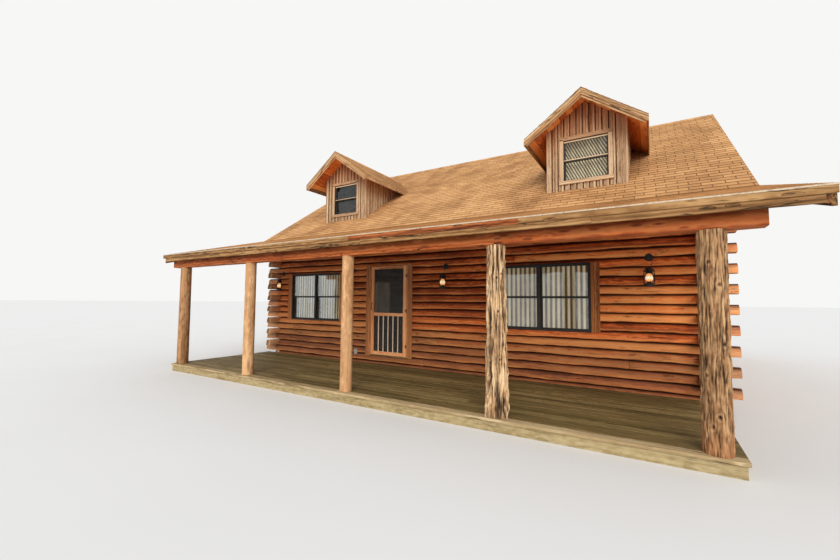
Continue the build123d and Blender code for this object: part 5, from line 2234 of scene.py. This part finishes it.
@dataclass
class Lanterns:
    """The wall lanterns: disc and arm, vented cap, side tubes, fuel tank and lit globe."""

    tube: float = 0.0095
    arm: float = 0.009
    bail: float = 0.004
    guard: float = 0.0018
    disc: float = 0.066
    body_height: float = 0.310
    cap: Profile = (
        (0.008, 0.308), (0.022, 0.306), (0.030, 0.296), (0.052, 0.289), (0.056, 0.276), (0.042, 0.270), (0.042, 0.258),
        (0.062, 0.250), (0.066, 0.238), (0.046, 0.232), (0.046, 0.222), (0.064, 0.214), (0.058, 0.206))
    tank: Profile = (
        (0.050, 0.0), (0.066, 0.004), (0.069, 0.018), (0.066, 0.042), (0.052, 0.054), (0.030, 0.060), (0.030, 0.070),
        (0.044, 0.074), (0.044, 0.080), (0.02, 0.082))
    knuckle: Profile = ((0.004, 0.02), (0.013, 0.013), (0.016, 0.0), (0.013, -0.013), (0.006, -0.02))
    cage: Profile = ((0.040, 0.078), (0.058, 0.10), (0.061, 0.145), (0.058, 0.19), (0.04, 0.212))
    globe: Profile = (
        (0.030, 0.079), (0.044, 0.090), (0.053, 0.110), (0.055, 0.134), (0.049, 0.160), (0.036, 0.184), (0.025, 0.207))
    globe_shade: tuple[float, ...] = (1.0, 0.95, 0.5, 0.0, 0.3, 0.8, 1.0)

    def build(self) -> None:
        """Build every lantern's metal and globe."""
        metal, globes = Stock(320), Stock(321)
        for low, high in lumps("lanterns"):
            self.one(metal, globes, low, high)
        metal.piece("lantern_metalwork", [BLACK], replaces=["lanterns"])
        globes.piece("lantern_globes", [GLOBE], replaces=["lantern_glass"])

    def one(self, metal: Stock, globes: Stock, low: Vector, high: Vector) -> None:
        """Build one lantern inside its frame solid's corners.

        Args:
            metal: The metal piece.
            globes: The globes' piece.
            low: Lowest corner.
            high: Highest corner.
        """
        radius = (high.x - low.x) / 2
        x, wall = (low.x + high.x) / 2, high.y
        y = low.y + radius
        disc, foot = self.disc, low.z
        z = high.z - disc
        plate = ((disc, 0.0), (disc, 0.008), (disc * 0.86, 0.014), (disc * 0.8, 0.022), (0.02, 0.024), (0.016, 0.034))
        metal.turned(Vector((x, wall, z)), plate, 36, way=Vector((0, -1, 0)))
        arm = [Vector((x, wall - 0.02 + (y - wall + 0.02) * t / 8, z - 0.012 * math.sin(math.pi * t / 8)))
               for t in range(9)]
        metal.wire(arm, self.arm)
        top = foot + self.body_height
        metal.turned(Vector((x, y, z - 0.012)), self.knuckle, 16)
        bail = [Vector((x + 0.045 * math.sin(math.pi * t / 10), y, z - 0.014 - (z - top) * t / 10)) for t in range(11)]
        metal.wire(bail, self.bail, 8)
        metal.turned(Vector((x, y, foot)), self.cap, 28)
        metal.turned(Vector((x, y, foot)), self.tank, 32)
        reach = radius - self.tube
        bends = ((0.050, 0.262), (0.8 * reach, 0.268), (reach, 0.245), (reach, 0.20), (reach * 0.97, 0.12),
                 (reach, 0.06), (0.85 * reach, 0.035), (0.055, 0.03))
        for side in (-1, 1):
            metal.wire([Vector((x + side * away, y, foot + up)) for away, up in bends], self.tube, 10)
        for turn in range(4):
            angle = math.tau * turn / 4 + 0.4
            hoop = [Vector((x + away * math.cos(angle), y + away * math.sin(angle), foot + up))
                    for away, up in self.cage]
            metal.wire(hoop, self.guard, 6)
        globes.turned(Vector((x, y, foot)), self.globe, 32, painted_light=self.globe_shade)


@dataclass
class Outlet:
    """The weatherproof outlet box on the front wall."""

    screw: Profile = ((0.005, 0.0), (0.005, 0.0025), (0.003, 0.0038))

    def build(self) -> None:
        """Build the box, its cover and its screws."""
        low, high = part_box("outlet_box")
        stock = Stock(330)
        stock.plank((low.x, low.y + 0.014, low.z), (high.x, high.y, high.z), axis=2, cut=0.006)
        stock.plank((low.x + 0.003, low.y + 0.003, low.z + 0.004), (high.x - 0.003, low.y + 0.012, high.z - 0.004),
                    axis=2, cut=0.008)
        for z in (low.z + 0.014, high.z - 0.014):
            stock.turned(Vector(((low.x + high.x) / 2, low.y + 0.004, z)), self.screw, 14, way=Vector((0, -1, 0)))
        stock.piece("outlet_cover", [OUTLET], replaces=["outlet_box"])


@dataclass
class Understructure:
    """Foundation, floors, framing and the rafters under the porch roof."""

    def build(self) -> None:
        """Finish the parts of the frame that keep their shapes."""
        dress("foundation", CONCRETE, 0.006)
        for node in ("ground_floor", "loft_floor", "ridge_board", "wall_plates"):
            dress(node, FRAMING_X, 0.002)
        for node in ("floor_joists", "main_rafters"):
            dress(node, FRAMING_Y, 0.002)
        dress("porch_ledger", RAFTER, 0.002)
        stock = Stock(340)
        for low, high in lumps("porch_rafters"):
            drop = (high.y - low.y) * S.porch_slope
            rise = high.z - low.z - drop
            corners = [Vector((low.x, low.y, low.z)), Vector((high.x, low.y, low.z)),
                       Vector((high.x, low.y, low.z + rise)), Vector((low.x, low.y, low.z + rise))]
            stock.run(eased(corners, 0.004), Vector((0, high.y - low.y, drop)), step=0.3, wobble=0.001)
        stock.piece("porch_rafter_timbers", [RAFTER], replaces=["porch_rafters"])


@dataclass
class Studio:
    """A plain pale floor, soft light and the camera at the picture's view."""

    floor: Colour = (0.80, 0.79, 0.77)
    reach: float = 400.0
    backdrop: Colour = (0.93, 0.93, 0.92)
    sky: Colour = (0.90, 0.95, 1.0)
    sky_strength: float = 0.80
    sun_strength: float = 2.4
    sun_aim: tuple[float, float, float] = (-0.42, 0.85, -0.47)
    sun_angle: float = 40.0
    sun_colour: Colour = (1.0, 0.95, 0.88)
    place: tuple[float, float, float] = (4.1525, -11.432, 1.588)
    yaw: float = 31.180
    pitch: float = 3.261
    roll: float = 0.537
    lens: float = 16.4536
    sensor: float = 36.0
    clip: float = 600.0

    def build(self) -> None:
        """Build the floor, the world, the light and the camera."""
        self.ground()
        self.light()
        self.camera()
        scene = bpy.context.scene
        scene.view_settings.view_transform = "Standard"

    def ground(self) -> None:
        """Lay the floor."""
        mesh = bpy.data.meshes.new("studio_floor")
        far = self.reach
        mesh.from_pydata([(-far, -far, 0), (far, -far, 0), (far, far, 0), (-far, far, 0)], [], [(0, 1, 2, 3)])
        floor = placed("studio_floor", mesh)
        g = Graph("studio_floor")
        darker = tuple(part * 0.985 for part in self.floor)
        tone = g.mix(g.span(g.noise(g.place(), 0.4, 2.0), 0.3, 0.7), self.floor, darker)
        g.surface(tone, 0.95, Specular_IOR_Level=0.1)
        mesh.materials.append(g.material)

    def light(self) -> None:
        """Light the scene by a soft sky and a wide sun."""
        world = bpy.data.worlds.new("studio_sky")
        world.use_nodes = True
        tree = world.node_tree
        tree.nodes.clear()
        out = tree.nodes.new("ShaderNodeOutputWorld")
        sky = tree.nodes.new("ShaderNodeBackground")
        sky.inputs[0].default_value = (*self.sky, 1.0)
        sky.inputs[1].default_value = self.sky_strength
        shown = tree.nodes.new("ShaderNodeBackground")
        shown.inputs[0].default_value = (*self.backdrop, 1.0)
        shown.inputs[1].default_value = 1.0
        path = tree.nodes.new("ShaderNodeLightPath")
        blend = tree.nodes.new("ShaderNodeMixShader")
        seen = path.outputs["Is Camera Ray"]
        for other in ("Is Glossy Ray", "Is Transmission Ray"):
            either = tree.nodes.new("ShaderNodeMath")
            either.operation = "MAXIMUM"
            tree.links.new(seen, either.inputs[0])
            tree.links.new(path.outputs[other], either.inputs[1])
            seen = either.outputs[0]
        tree.links.new(seen, blend.inputs[0])
        tree.links.new(sky.outputs[0], blend.inputs[1])
        tree.links.new(shown.outputs[0], blend.inputs[2])
        tree.links.new(blend.outputs[0], out.inputs[0])
        bpy.context.scene.world = world
        lamp = bpy.data.lights.new("studio_sun", "SUN")
        lamp.energy = self.sun_strength
        lamp.angle = math.radians(self.sun_angle)
        lamp.color = self.sun_colour
        sun = placed("studio_sun", lamp)
        sun.rotation_mode = "QUATERNION"
        sun.rotation_quaternion = Vector(self.sun_aim).to_track_quat("-Z", "Y")

    def camera(self) -> None:
        """Set the camera up where the picture was taken from."""
        yaw, pitch, roll = (math.radians(a) for a in (self.yaw, self.pitch, self.roll))
        ahead = Vector((-math.sin(yaw) * math.cos(pitch), math.cos(yaw) * math.cos(pitch), math.sin(pitch)))
        right = Vector((math.cos(yaw), math.sin(yaw), 0.0))
        up = right.cross(ahead)
        tilted = right * math.cos(roll) + up * math.sin(roll)
        upright = up * math.cos(roll) - right * math.sin(roll)
        data = bpy.data.cameras.new("picture_view")
        data.lens = self.lens
        data.sensor_fit = "HORIZONTAL"
        data.sensor_width = self.sensor
        data.clip_end = self.clip
        made = placed("picture_view", data)
        turn = Matrix((tilted, upright, -ahead)).transposed().to_4x4()
        made.matrix_world = Matrix.Translation(Vector(self.place)) @ turn
        bpy.context.scene.camera = made


def main() -> None:
    """Build the cabin's looks and the studio."""
    logging.basicConfig(level=logging.INFO, format="%(message)s")
    noise.seed_set(NOISE_SEED)
    for part in (LogWalls(), Posts(), MainRoof(), RoofTrim(), PorchBeam(), Deck(), Dormers(), Gables(), Windows(),
                 WallTrim(), ScreenDoor(), Lanterns(), Outlet(), Understructure(), Studio()):
        part.build()
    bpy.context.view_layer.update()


if __name__ == "__main__":
    main()
